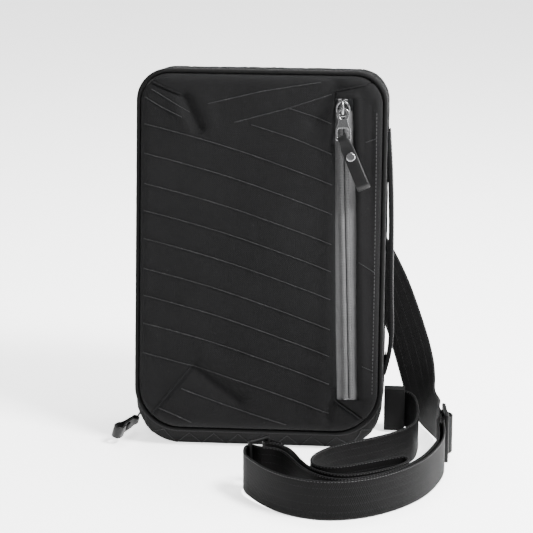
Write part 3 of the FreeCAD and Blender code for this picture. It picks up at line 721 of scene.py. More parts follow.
def fill_wardrobe() -> Wardrobe:
    """Make every finish with its own values."""
    groups = Groups(weave_group(), wear_group(), grain_group())
    made = {
        "shell": ClothFinish("shell_cloth", (0.0004, 0.0004, 0.00045), (0.0062, 0.0062, 0.0065),
                             sheen=0.03, bump=0.7, specular=0.07),
        "gusset": ClothFinish("gusset_cloth", (0.0004, 0.0004, 0.0004), (0.003, 0.003, 0.0031),
                              sheen=0.02, specular=0.1),
        "ridge": ClothFinish("ridge_yarn", (0.004, 0.004, 0.0042), (0.012, 0.012, 0.0125), 1600.0,
                             0.1, (0.5, 0.65)),
        "lining": ClothFinish("lining_cloth", (0.035, 0.036, 0.038), (0.07, 0.072, 0.075), 1500.0, 0.1),
        "elastic": ClothFinish("elastic_binding", (0.008, 0.008, 0.009), (0.02, 0.02, 0.021), 700.0, 0.2),
        "board": SolidFinish("stiffener_board", (0.02, 0.02, 0.021), (0.035, 0.035, 0.036), bump=0.15),
        "tape": ClothFinish("pocket_tape", (0.04, 0.04, 0.041), (0.075, 0.075, 0.076), 1500.0, 0.1,
                            (0.4, 0.55), 0.2, 60.0),
        "dark_tape": ClothFinish("main_tape", (0.008, 0.008, 0.009), (0.02, 0.02, 0.021), 1500.0, 0.2),
        "coil": SolidFinish("coil_nylon", (0.01, 0.01, 0.011), (0.03, 0.03, 0.031), 0.0,
                            (0.25, 0.4), 1500.0, 0.05),
        "pocket_coil": SolidFinish("pocket_coil_nylon", (0.04, 0.04, 0.041), (0.08, 0.08, 0.081), 0.0,
                                   (0.3, 0.45), 1500.0, 0.05),
        "nickel": SolidFinish("nickel_plate", (0.16, 0.16, 0.165), (0.3, 0.3, 0.305), 1.0,
                              (0.14, 0.26), 2500.0, 0.03),
        "dark_metal": SolidFinish("satin_black_metal", (0.0008, 0.0008, 0.0009), (0.003, 0.003, 0.0031),
                                  0.0, (0.34, 0.5), 2200.0, 0.06, 0.0, 0.14),
        "leather": SolidFinish("coated_leather", (0.001, 0.001, 0.0011), (0.004, 0.004, 0.0042), 0.0,
                               (0.34, 0.48), 1800.0, 0.16, 0.03, 0.2),
        "webbing": WebbingFinish("strap_webbing", (0.0003, 0.0003, 0.0003), (0.0024, 0.0024, 0.0025), WEB),
        "handle": WebbingFinish("handle_webbing", (0.0015, 0.0015, 0.0016), (0.006, 0.006, 0.0063),
                                21.0, math.pi),
        "thread": SolidFinish("sewing_thread", (0.004, 0.004, 0.0042), (0.016, 0.016, 0.0165), 0.0,
                              (0.4, 0.5), 3000.0, 0.1, 0.2),
        "back": AirMeshFinish("air_mesh", (0.003, 0.003, 0.003), (0.026, 0.026, 0.027)),
    }
    return Wardrobe(**{key: finish.build(groups) for key, finish in made.items()})


# ---------------------------------------------------------------- repeated small parts, by geometry nodes


@dataclass
class Track:
    """A line on the bag that small parts follow, with the outward direction at each point."""

    points: list[Vector]
    outward: list[Vector]
    closed: bool = False


class TrackTree:
    """A geometry node tree that lays parts along tracks, and its named inputs."""

    def __init__(self, name: str, inputs: list[tuple[str, str]]) -> None:
        """Start the tree with its named inputs."""
        self.tree = bpy.data.node_groups.new(name, "GeometryNodeTree")
        face = self.tree.interface
        face.new_socket(name="Tracks", in_out="INPUT", socket_type="NodeSocketGeometry")
        self.keys = {label: face.new_socket(name=label, in_out="INPUT", socket_type=kind).identifier
                     for label, kind in inputs}
        face.new_socket(name="Parts", in_out="OUTPUT", socket_type="NodeSocketGeometry")
        self.given = self.tree.nodes.new("NodeGroupInput").outputs
        self.leave = self.tree.nodes.new("NodeGroupOutput")
        self.curve = put(self.tree, "GeometryNodeMeshToCurve", self.given["Tracks"]).outputs[0]

    def end(self, parts: bpy.types.NodeSocket) -> None:
        """Make the parts real, smooth and dressed."""
        real = put(self.tree, "GeometryNodeRealizeInstances", parts).outputs[0]
        shade = put(self.tree, "GeometryNodeSetShadeSmooth", real).outputs[0]
        dressed = self.tree.nodes.new("GeometryNodeSetMaterial")
        self.tree.links.new(shade, dressed.inputs["Geometry"])
        self.tree.links.new(self.given["Finish"], dressed.inputs["Material"])
        self.tree.links.new(dressed.outputs[0], self.leave.inputs[0])

    def lay(self, name: str, tracks: list[Track], finish: bpy.types.Material,
            values: dict[str, object]) -> bpy.types.Object:
        """Lay the parts along tracks and keep them as a plain mesh.

        Args:
            name: The piece's name.
            tracks: The lines to follow.
            finish: The parts' finish.
            values: The tree's named inputs.

        Returns:
            The new piece.
        """
        base = bpy.data.meshes.new(name + "_tracks")
        points, edges, ways = [], [], []
        for track in tracks:
            first = len(points)
            points += track.points
            ways += track.outward
            count = len(track.points)
            edges += [(first + i, first + i + 1) for i in range(count - 1)]
            if track.closed:
                edges.append((first + count - 1, first))
        base.from_pydata([tuple(p) for p in points], edges, [])
        layer = base.attributes.new("outward", "FLOAT_VECTOR", "POINT")
        layer.data.foreach_set("vector", [c for way in ways for c in way])
        carrier = bpy.data.objects.new(name + "_tracks", base)
        bpy.context.scene.collection.objects.link(carrier)
        modifier = carrier.modifiers.new("parts", "NODES")
        modifier.node_group = self.tree
        for label, value in {**values, "Finish": finish}.items():
            modifier[self.keys[label]] = value
        carrier.update_tag()
        graph = bpy.context.evaluated_depsgraph_get()
        mesh = bpy.data.meshes.new_from_object(carrier.evaluated_get(graph), depsgraph=graph)
        bpy.data.objects.remove(carrier)
        for attribute in [a.name for a in mesh.attributes if a.name == "outward"]:
            mesh.attributes.remove(mesh.attributes[attribute])
        return present(name, mesh, finish, 60.0)


def bead_tree() -> TrackTree:
    """Rounded beads set at a pitch along tracks: stitches and coil turns."""
    made = TrackTree("bead_row", [("Pitch", "NodeSocketFloat"), ("Size", "NodeSocketVector"),
                                  ("Uneven", "NodeSocketFloat"), ("Seed", "NodeSocketInt"),
                                  ("Finish", "NodeSocketMaterial")])
    tree, given = made.tree, made.given
    spread = tree.nodes.new("GeometryNodeResampleCurve")
    spread.mode = "LENGTH"
    tree.links.new(made.curve, spread.inputs["Curve"])
    tree.links.new(given["Pitch"], spread.inputs["Length"])
    along = tree.nodes.new("GeometryNodeInputTangent").outputs[0]
    outward = put(tree, "GeometryNodeInputNamedAttribute", "outward", data_type="FLOAT_VECTOR").outputs[0]
    first = tree.nodes.new("FunctionNodeAlignRotationToVector")
    first.axis = "X"
    tree.links.new(along, first.inputs["Vector"])
    second = tree.nodes.new("FunctionNodeAlignRotationToVector")
    second.axis = "Z"
    second.pivot_axis = "X"
    tree.links.new(first.outputs[0], second.inputs["Rotation"])
    tree.links.new(outward, second.inputs["Vector"])
    ball = put(tree, "GeometryNodeMeshUVSphere", 8, 4, 0.5).outputs[0]
    shaped = tree.nodes.new("GeometryNodeTransform")
    tree.links.new(ball, shaped.inputs["Geometry"])
    tree.links.new(given["Size"], shaped.inputs["Scale"])
    uneven = tree.nodes.new("FunctionNodeRandomValue")
    uneven.data_type = "FLOAT"
    low = put(tree, "ShaderNodeMath", 1.0, given["Uneven"], operation="SUBTRACT").outputs[0]
    high = put(tree, "ShaderNodeMath", 1.0, given["Uneven"], operation="ADD").outputs[0]
    floats = [s for s in uneven.inputs if s.type == "VALUE" and s.enabled]
    tree.links.new(low, floats[0])
    tree.links.new(high, floats[1])
    tree.links.new(given["Seed"], uneven.inputs["Seed"])
    scale = next(s for s in uneven.outputs if s.enabled)
    placed = tree.nodes.new("GeometryNodeInstanceOnPoints")
    tree.links.new(spread.outputs[0], placed.inputs["Points"])
    tree.links.new(shaped.outputs[0], placed.inputs["Instance"])
    tree.links.new(second.outputs[0], placed.inputs["Rotation"])
    tree.links.new(scale, placed.inputs["Scale"])
    made.end(placed.outputs[0])
    return made


def cord_tree() -> TrackTree:
    """Fine raised cords along tracks: the ridges woven or bonded into the cloth."""
    made = TrackTree("raised_cord", [("Radius", "NodeSocketFloat"), ("Finish", "NodeSocketMaterial")])
    tree = made.tree
    ring = tree.nodes.new("GeometryNodeCurvePrimitiveCircle")
    ring.inputs["Resolution"].default_value = 6
    tree.links.new(made.given["Radius"], ring.inputs["Radius"])
    tube = tree.nodes.new("GeometryNodeCurveToMesh")
    tree.links.new(made.curve, tube.inputs["Curve"])
    tree.links.new(ring.outputs[0], tube.inputs["Profile Curve"])
    tube.inputs["Fill Caps"].default_value = True
    made.end(tube.outputs[0])
    return made


@dataclass
class Workshop:
    """What every sub-assembly is made with."""

    wardrobe: Wardrobe
    beads: TrackTree
    cords: TrackTree

    def stitches(self, name: str, tracks: list[Track], pitch: float = 3.2, length: float = 2.5,
                 width: float = 0.7, finish: bpy.types.Material | None = None) -> bpy.types.Object:
        """Sew rows of stitches, sizes in millimetres."""
        size = (length * MM, width * MM, 0.55 * width * MM)
        values = {"Pitch": pitch * MM, "Size": size, "Uneven": 0.08, "Seed": 7}
        return self.beads.lay(name, tracks, finish or self.wardrobe.thread, values)

    def coil(self, name: str, tracks: list[Track], pitch: float, size: Point,
             finish: bpy.types.Material) -> bpy.types.Object:
        """Lay a zipper's coil turns, sizes in millimetres (along, across, thick)."""
        values = {"Pitch": pitch * MM, "Size": tuple(c * MM for c in size), "Uneven": 0.0, "Seed": 1}
        return self.beads.lay(name, tracks, finish, values)

    def ridges(self, name: str, tracks: list[Track], radius: float,
               finish: bpy.types.Material | None = None) -> bpy.types.Object:
        """Raise fine cords on the cloth, radius in millimetres."""
        return self.cords.lay(name, tracks, finish or self.wardrobe.ridge, {"Radius": radius * MM})


# ---------------------------------------------------------------- the front face


@dataclass(frozen=True)
class Crease:
    """A pull or fold of the cloth along a line (x, z), pushed in or out by a depth."""

    start: Point
    end: Point
    width: float
    depth: float

    def push(self, x: float, z: float) -> float:
        """Depth it adds at a point, in millimetres; inward is positive."""
        ax, az = self.start
        bx, bz = self.end
        run = (bx - ax) ** 2 + (bz - az) ** 2
        t = min(1.0, max(0.0, ((x - ax) * (bx - ax) + (z - az) * (bz - az)) / run))
        away = math.hypot(x - ax - (bx - ax) * t, z - az - (bz - az) * t)
        if away > 3.0 * self.width:
            return 0.0
        return self.depth * math.exp(-((away / self.width) ** 2))


FACE_CREASES = (
    Crease((-88.0, 290.5), (-61.8, 279.4), 1.1, 1.0),
    Crease((-61.0, 279.0), (-50.0, 256.0), 4.8, 3.9),
    Crease((-68.0, 270.0), (-62.0, 262.0), 6.0, -0.9),
    Crease((-44.0, 274.0), (-40.0, 260.0), 6.0, -0.8),
    Crease((-86.0, 19.5), (-52.9, 61.5), 1.1, 1.1),
    Crease((-50.5, 60.5), (-16.0, 36.0), 6.5, 4.2),
    Crease((-44.0, 73.0), (-8.0, 50.0), 9.0, -0.9),
    Crease((-60.0, 40.0), (-30.0, 26.0), 8.0, -0.8),
    Crease((42.0, 262.0), (60.0, 289.0), 6.0, 2.6),
    Crease((28.0, 270.0), (50.0, 294.0), 9.0, -0.8),
    Crease((52.0, 240.0), (57.0, 270.0), 5.0, -0.8),
    Crease((60.0, 283.0), (74.0, 283.0), 3.4, -1.8),
    Crease((77.5, 279.0), (85.5, 42.0), 3.2, -1.1),
    Crease((88.5, 275.0), (91.0, 60.0), 3.0, 0.8),
    Crease((56.0, 262.0), (55.5, 60.0), 5.0, -0.7),
    Crease((62.0, 44.0), (57.0, 22.0), 3.6, 2.8),
    Crease((50.0, 62.0), (48.0, 24.0), 7.0, -0.9),
    Crease((-24.0, 205.0), (-34.0, 95.0), 22.0, 1.3),
    Crease((22.0, 240.0), (10.0, 70.0), 26.0, -1.2),
)


PANEL_EDGE = [(8.0, 105.6), (22.0, 85.6), (37.0, 63.6), (285.0, 58.6), (291.0, 81.6), (300.0, 105.6)]
STRIP_EDGE = [(8.0, 106.0), (22.0, 86.0), (37.0, 64.0), (285.0, 59.0), (291.0, 82.0), (300.0, 106.0)]
SLOT_LOW, SLOT_HIGH = 38.0, 280.3
RIDGE_STARTS = (257.6, 234.1, 209.8, 187.9, 165.2, 140.9, 119.0, 96.4, 72.1)
RIDGE_RUN = 153.0
SHORT_RIDGES = (
    [(-42.4, 274.6), (2.0, 285.5), (49.2, 293.4)],
    [(-21.3, 260.0), (20.0, 271.5), (57.5, 284.0)],
    [(-7.5, 258.4), (26.0, 248.5), (58.6, 235.7)],
    [(22.4, 272.1), (40.0, 266.5), (57.6, 260.0)],
    [(-61.8, 43.7), (-20.0, 29.0), (25.0, 15.5)],
    [(-80.4, 27.0), (-64.0, 20.5), (-52.0, 15.2)],
    [(-88.0, 285.5), (-70.0, 275.0), (-56.0, 266.5)],
    [(-93.0, 279.0), (-80.0, 271.5), (-62.0, 263.0)],
)


@dataclass
class FrontFace:
    """The ridged pocket panel, the side strip, their ridges and the seams between them."""

    shop: Workshop
    inset: float = 3.7
    bottom: float = 11.2
    rim: float = -34.4
    front: float = -39.2
    roll: float = 8.0
    wall: float = 1.5
    columns: int = 150
    rows: int = 250
    strip_columns: int = 46

    @property
    def top(self) -> float:
        """Height of the face's top edge."""
        return BODY_TOP - self.inset

    def pillow(self, x: float, z: float) -> float:
        """Depth of the crowned, creased front surface at (x, z)."""
        away = edge_distance(x, z, self.inset, self.bottom, self.top)
        t = min(1.0, max(0.0, away / self.roll))
        rise = math.sqrt(max(0.0, 1.0 - (1.0 - t) ** 2))
        crown = 1.6 * smooth(away / 75.0)
        dent = sum(crease.push(x, z) for crease in FACE_CREASES) * smooth(away / 5.0)
        soft = noise.noise(Vector((x * 0.022, z * 0.016, 1.7))) * 1.1 * t
        crinkle = noise.noise(Vector((x * 0.11, z * 0.09, 4.1))) * 0.18 * t
        return self.rim + (self.front - self.rim) * rise - crown + dent + soft + crinkle

    def panel_edge(self, z: float) -> float:
        """Right edge of the ridged panel at a height."""
        return min(between(z, PANEL_EDGE), self.outline(z))

    def outline(self, z: float) -> float:
        """Half width of the whole face at a height."""
        return half_span(z, self.inset, self.bottom, self.top)

    def strip_edge(self, z: float) -> float:
        """Left edge of the side strip at a height."""
        if SLOT_LOW <= z <= SLOT_HIGH:
            bow = 1.3 * math.exp(-(((z - 185.0) / 48.0) ** 2))
            return 73.5 + (282.0 - z) * 8.0 / 244.0 + bow - 0.6
        return between(z, STRIP_EDGE)

    def tucked(self, x: float, z: float, edge: float) -> float:
        """Depth beside a free edge, where the cloth turns under."""
        t = min(1.0, abs(x - edge) / 2.2)
        return self.pillow(x, z) + 0.9 * (1.0 - t) ** 2

    def sheet(self, heights: list[float], left: Profile, right: Profile, columns: int, name: str,
              free: Profile) -> bpy.types.Object:
        """Make one cloth panel with a front, a back and a turned rim.

        Args:
            heights: Heights of its rows, bottom to top.
            left: Function giving its left edge at a height.
            right: Function giving its right edge at a height.
            columns: Number of columns.
            name: The piece's name.
            free: Function giving the edge that turns under at a height.

        Returns:
            The new piece.
        """
        fronts, backs = [], []
        for z in heights:
            low, high = left(z), right(z)
            xs = [low + (high - low) * i / columns for i in range(columns + 1)]
            depths = [self.tucked(x, z, free(z)) for x in xs]
            fronts.append([lean(x, y, z) for x, y in zip(xs, depths)])
            backs.append([lean(x, y + self.wall, z) for x, y in zip(xs, depths)])
        draft = Draft()
        draft.slab(fronts, backs)
        return draft.make(name, self.shop.wardrobe.shell, 50.0)

    def heights(self, low: float, high: float, rows: int, extra: list[float]) -> list[float]:
        """Row heights, closer at the two ends.

        Args:
            low: Lowest row.
            high: Highest row.
            rows: Number of steps between them.
            extra: Exact heights to add, where the outline turns.

        Returns:
            The heights, rising.
        """
        found = set(extra)
        for i in range(rows + 1):
            eased = 0.5 - 0.5 * math.cos(math.pi * (i / rows))
            even = low + (high - low) * i / rows
            found.add(round(0.65 * even + 0.35 * (low + (high - low) * eased), 3))
        return sorted(found)

    def surface_track(self, points: list[Point], lift: float = 0.22) -> Track:
        """Track on the face through broken-line points (x, z), raised by a lift."""
        places, ways = [], []
        for (ax, az), (bx, bz) in zip(points[:-1], points[1:]):
            count = max(2, int(math.hypot(bx - ax, bz - az) / 1.5))
            for k in range(count):
                x, z = ax + (bx - ax) * k / count, az + (bz - az) * k / count
                places.append(lean(x, self.pillow(x, z) - lift, z))
                ways.append(lean_way(0.0, -1.0, 0.0))
        return Track(places, ways)

    def ridge_tracks(self) -> list[Track]:
        """The long falling ridges, the rising pair at the top and the short ones at the ends."""
        lines = []
        for start in RIDGE_STARTS:
            line = []
            for k in range(25):
                t = k / 24
                line.append((-93.6 + RIDGE_RUN * t, start - RIDGE_RUN * (0.22 * t + 0.085 * t * t)))
            lines.append(line)
        lines += SHORT_RIDGES
        tracks = []
        for line in lines:
            inside = [p for p in line if edge_distance(*p, self.inset, self.bottom, self.top) > 1.2
                      and p[0] < self.panel_edge(p[1]) - 0.6]
            if len(inside) > 1:
                tracks.append(self.surface_track(inside))
        return tracks

    def build(self) -> None:
        """Make the panel, the strip, the ridges and the seam stitches."""
        shop = self.shop
        turns = [36.9, 37.0, 285.0, 285.1, 291.0]
        rows = self.heights(self.bottom + 0.02, self.top - 0.02, self.rows, turns)
        panel = self.sheet(rows, lambda z: -self.outline(z), self.panel_edge, self.columns, "ridged_panel",
                           self.panel_edge)
        fit(panel, Body.COVER, Slot.SHELL, "front_panel")
        rows = self.heights(11.6, 297.0, 230, [36.9, 37.0, 37.9, 38.0, 280.3, 280.5, 285.0, 291.0])
        rows = [z for z in rows if self.strip_edge(z) < self.outline(z) - 0.3]
        strip = self.sheet(rows, self.strip_edge, self.outline, self.strip_columns, "side_strip",
                           self.strip_edge)
        fit(strip, Body.COVER, Slot.SHELL, "front_side_strip")
        fit(shop.ridges("panel_ridges", self.ridge_tracks(), 0.42), Body.COVER, Slot.SHELL)
        marks = [self.surface_track([(84.0, 246.0), (94.0, 249.5)]),
                 self.surface_track([(84.0, 66.0), (94.0, 61.0)]),
                 self.surface_track([(80.0, 150.0), (94.0, 141.0)])]
        fit(shop.ridges("strip_ridges", marks, 0.35), Body.COVER, Slot.SHELL)
        seams = [self.surface_track([(92.6, 44.0), (92.8, 120.0), (92.6, 200.0), (92.2, 270.0)], 0.0)]
        fit(shop.stitches("strip_seam_stitches", seams, 3.0, 2.3, 0.65), Body.COVER, Slot.SHELL)
        folds = [self.surface_track([(-87.0, 291.2), (-62.5, 281.2)], 0.25),
                 self.surface_track([(-86.5, 21.5), (-54.0, 62.8)], 0.25),
                 self.surface_track([(60.0, 286.4), (72.0, 289.2), (86.0, 292.2)], 0.1),
                 self.surface_track([(63.0, 36.6), (84.0, 22.2)], 0.1)]
        fit(shop.ridges("dart_seams", folds, 0.75, shop.wardrobe.shell), Body.COVER, Slot.SHELL)


# ---------------------------------------------------------------- gussets, piping, lining


CROSSINGS = 44
CROSSING_STEPS = 14
CROSSING_SWEEP = 1.8


@dataclass
class Gusset:
    """One deep side band of the bag, foam-backed cloth, with its crossed ridges."""

    shop: Workshop
    name: str
    body: Body
    stations: tuple[Point, ...]
    node: str
    seam: float
    wall: float = 2.0

    def section(self, depth: float) -> Point:
        """Inset, bottom and top at a depth, eased between the stations."""
        for a, b in zip(self.stations[:-1], self.stations[1:]):
            if depth <= b[0]:
                t = (depth - a[0]) / (b[0] - a[0])
                ease = math.sin(t * math.pi / 2) if a[1] > b[1] else 1.0 - math.cos(t * math.pi / 2)
                shares = (ease, t, t)
                return tuple(p + (q - p) * share for p, q, share in zip(a[1:], b[1:], shares))
        return self.stations[-1][1:]

    def surface(self, depth: float, spot: tuple, thick: float) -> Vector:
        """Point of the wall, soft with small puckers that only go inward."""
        x, z, nx, nz = spot
        pucker = 0.35 + 0.35 * noise.noise(Vector((x * 0.06, depth * 0.12, z * 0.05)))
        fine = 0.12 + 0.12 * noise.noise(Vector((x * 0.35, depth * 0.2, z * 0.3)))
        inward = thick + (pucker + fine) * (0.0 if nz < -0.6 else 1.0)
        return lean(x - nx * inward, depth, z - nz * inward)

    def build(self) -> None:
        """Make the band, its ridges and its edge stitches."""
        first, last = self.stations[0][0], self.stations[-1][0]
        depths = [first + (last - first) * i / 18 for i in range(19)]
        rows, inner = [], []
        for depth in depths:
            inset, bottom, top = self.section(depth)
            spots = OutlineLoop(inset, bottom, top).points()
            rows.append([self.surface(depth, s, 0.0) for s in spots])
            inner.append([self.surface(depth, s, self.wall) for s in spots])
        draft = Draft()
        draft.grid(rows + inner[::-1], loop_u=True, loop_v=True)
        wardrobe = self.shop.wardrobe
        band = draft.make(self.name, wardrobe.gusset, 55.0)
        fit(band, self.body, Slot.SHELL, self.node)
        ridges = self.shop.ridges(self.name + "_ridges", self.crossing_tracks(first, last), 0.32)
        fit(ridges, self.body, Slot.SHELL)
        sewn = self.shop.stitches(self.name + "_stitches", [self.round_track(self.seam)])
        fit(sewn, self.body, Slot.SHELL)

    def spot_at(self, share: float, depth: float) -> tuple[Vector, Vector]:
        """Point and outward direction at a share of the way round."""
        spots = OutlineLoop(*self.section(depth)).points()
        place = (share % 1.0) * len(spots)
        i = int(place)
        t = place - i
        a, b = spots[i % len(spots)], spots[(i + 1) % len(spots)]
        spot = tuple(p + (q - p) * t for p, q in zip(a, b))
        return self.surface(depth, spot, -0.16), lean_way(spot[2], 0.0, spot[3])

    def round_track(self, depth: float) -> Track:
        """Closed track round the band at a depth."""
        pairs = [self.spot_at(i / 240, depth) for i in range(240)]
        return Track([p for p, _ in pairs], [w for _, w in pairs], True)

    def crossing_tracks(self, first: float, last: float) -> list[Track]:
        """Two families of slanted ridges that cross over the band."""
        tracks = []
        low, high = first + 2.5, last - 2.5
        for i in range(CROSSINGS):
            for turn in (-1, 1):
                pairs = []
                for k in range(CROSSING_STEPS + 1):
                    share = (i + turn * k / CROSSING_STEPS * CROSSING_SWEEP) / CROSSINGS
                    pairs.append(self.spot_at(share, low + (high - low) * k / CROSSING_STEPS))
                tracks.append(Track([p for p, _ in pairs], [w for _, w in pairs]))
        return tracks


@dataclass
class Piping:
    """Cloth-covered cord along a face seam, slightly uneven where the cloth gathers."""

    shop: Workshop
    name: str
    body: Body
    node: str
    depth: float
    bottom: float
    inset: float = 2.9
    radius: float = 2.3
    sides: int = 12

    def build(self) -> None:
        """Make the cord."""
        loop = OutlineLoop(self.inset, self.bottom, BODY_TOP - self.inset, arc_steps=18, side_steps=110,
                           end_steps=66)
        rows = []
        for x, z, nx, nz in loop.points():
            gather = 1.0 - 0.05 * (1.0 + noise.noise(Vector((x * 0.3, self.depth, z * 0.3))))
            row = []
            for k in range(self.sides):
                angle = 2 * math.pi * k / self.sides
                out = math.cos(angle) * self.radius * gather
                deep = math.sin(angle) * self.radius * gather
                row.append(lean(x + nx * out, self.depth + deep, z + nz * out))
            rows.append(row)
        draft = Draft()
        draft.grid(rows, loop_u=True, loop_v=True)
        fit(draft.make(self.name, self.shop.wardrobe.gusset, 80.0), self.body, Slot.SHELL, self.node)


PAD_CHANNELS = (58.0, 118.0, 178.0)
CHANNEL_SLOPE = 0.12


@dataclass
class BackPad:
    """Foam back pad in air mesh, with sewn channels and a reinforcing patch for the strap."""

    shop: Workshop
    inset: float = 5.7
    bottom: float = 11.4
    columns: int = 110
    rows: int = 160

    def depth(self, x: float, z: float) -> float:
        """Depth of the padded surface at (x, z)."""
        top = BODY_TOP - self.inset
        away = edge_distance(x, z, self.inset, self.bottom, top)
        t = min(1.0, max(0.0, away / 9.0))
        rise = math.sqrt(max(0.0, 1.0 - (1.0 - t) ** 2))
        channel = 0.0
        for line in PAD_CHANNELS:
            channel = max(channel, math.exp(-(((z - line - CHANNEL_SLOPE * abs(x)) / 3.2) ** 2)))
        channel = max(channel, math.exp(-((x / 4.5) ** 2)) * smooth((200.0 - z) / 12.0))
        channel *= smooth((away - 8.0) / 10.0)
        patch = smooth((31.0 - abs(x - 35.0)) / 5.0) * smooth((33.0 - abs(z - 233.5)) / 5.0)
        swell = 2.2 * smooth(away / 26.0) * (1.0 - patch)
        return 37.0 + 6.2 * rise + swell * (1.0 - channel) - 3.4 * channel * (1.0 - patch)

    def build(self) -> None:
        """Make the pad, its channel stitches, the patch and its box stitching."""
        top = BODY_TOP - self.inset
        face, flat = [], []
        for j in range(self.rows + 1):
            z = self.bottom + 0.02 + (top - self.bottom - 0.04) * (j / self.rows)
            half = half_span(z, self.inset, self.bottom, top)
            xs = [half * (2 * i / self.columns - 1) for i in range(self.columns + 1)]
            face.append([lean(x, self.depth(x, z), z) for x in xs])
            flat.append([lean(x, 36.2, z) for x in xs])
        draft = Draft()
        draft.slab(face, flat)
        pad = draft.make("back_pad", self.shop.wardrobe.back, 60.0)
        fit(pad, Body.SHELL, Slot.BACK, "rear_panel")
        way = lean_way(0.0, 1.0, 0.0)
        tracks = []
        for line in PAD_CHANNELS:
            for side in (-1, 1):
                xs = [side * (6.0 + 70.0 * k / 40) for k in range(41)]
                spots = [(x, line + CHANNEL_SLOPE * abs(x)) for x in xs]
                tracks.append(Track([lean(x, self.depth(x, z) + 0.1, z) for x, z in spots], [way] * 41))
        fit(self.shop.stitches("back_pad_stitches", tracks), Body.SHELL, Slot.BACK)
        patch = softened("strap_anchor_patch", "strap_patch", self.shop.wardrobe.gusset, 0.5)
        fit(patch, Body.SHELL, Slot.SHELL, "strap_anchor_patch")
        corners = [(11.5, 208.5), (58.5, 208.5), (58.5, 258.5), (11.5, 258.5)]
        box = [lean(x, 45.5, z) for x, z in corners]
        sewn = [Track(box, [way] * 4, True)]
        fit(self.shop.stitches("strap_patch_stitches", sewn), Body.SHELL, Slot.SHELL)


# ---------------------------------------------------------------- zippers and pullers


HINGE_LOW, HINGE_TALL = 67.0, 194.0
HINGE_FACE, HINGE_WALL, HINGE_REACH = 98.5, 1.2, 6.6


@dataclass
class MainZipper:
    """Two-way zipper round the parting plane: tapes, coil halves, stops and the cloth hinge."""

    shop: Workshop
    inset: float = 10.0
    bottom: float = 10.0
    low_corner: float = 12.5
    hinge_bottom: float = 63.0
    hinge_top: float = 265.0

    def half_track(self, side: int) -> Track:
        """Open track of one coil half, from one end of the hinge round to the other."""
        high = BODY_TOP - self.inset
        loop = OutlineLoop(self.inset, self.bottom, high, self.low_corner, 20, 90, 60).points()
        outside = {i for i, (x, z, _, _) in enumerate(loop)
                   if not (x > 60.0 and self.hinge_bottom < z < self.hinge_top)}
        start = next(i for i in sorted(outside) if (i - 1) % len(loop) not in outside)
        order = [(start + k) % len(loop) for k in range(len(loop))]
        kept = [loop[i] for i in order if i in outside]
        return Track([lean(x, side * 2.1, z) for x, z, _, _ in kept],
                     [lean_way(nx, 0.0, nz) for _, _, nx, nz in kept])

    def build(self) -> None:
        """Make the chain, dress the tapes and stops, and bend the cloth hinge."""
        wardrobe = self.shop.wardrobe
        for side, body, node, name in ((1, Body.SHELL, "rear_zip_coil", "rear_chain"),
                                       (-1, Body.COVER, "front_zip_coil", "front_chain")):
            chain = self.shop.coil(name, [self.half_track(side)], 1.45, (1.3, 3.0, 1.9), wardrobe.coil)
            fit(chain, body, Slot.COIL, node)
        for node in ("rear_zip_tape", "front_zip_tape"):
            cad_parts[node].data.materials.clear()
            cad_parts[node].data.materials.append(wardrobe.dark_tape)
        stops = softened("main_zip_stops", "chain_stops", wardrobe.nickel, 0.2)
        fit(stops, Body.SHELL, Slot.NICKEL, "main_zip_stops")
        rows, inner = [], []
        depths = [HINGE_REACH * (i / 8 - 1.0) for i in range(17)]
        for k in range(41):
            z = HINGE_LOW + HINGE_TALL * k / 40
            rows.append([lean(HINGE_FACE, d, z) for d in depths])
            inner.append([lean(HINGE_FACE - HINGE_WALL, d, z) for d in depths])
        draft = Draft()
        draft.slab(rows, inner)
        hinge = draft.make("cloth_hinge", wardrobe.gusset, 50.0)
        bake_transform(hinge, Body.SHELL.value, Body.COVER.value, start=tuple(lean(99.5, 3.0, 164.0)),
                 end=tuple(lean(99.5, -3.0, 164.0)))
        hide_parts("hinge_fabric_rear", "hinge_fabric_front")


TAPE_START = 10.5
TAPE_PROFILE = [(0.3, -37.9), (0.45, -39.3), (1.6, -39.75), (3.0, -39.7), (3.9, -39.2), (4.6, -38.0),
                (6.0, -37.55), (9.5, -37.4), (9.5, -36.8), (5.0, -36.9), (3.8, -37.4), (1.2, -37.4)]


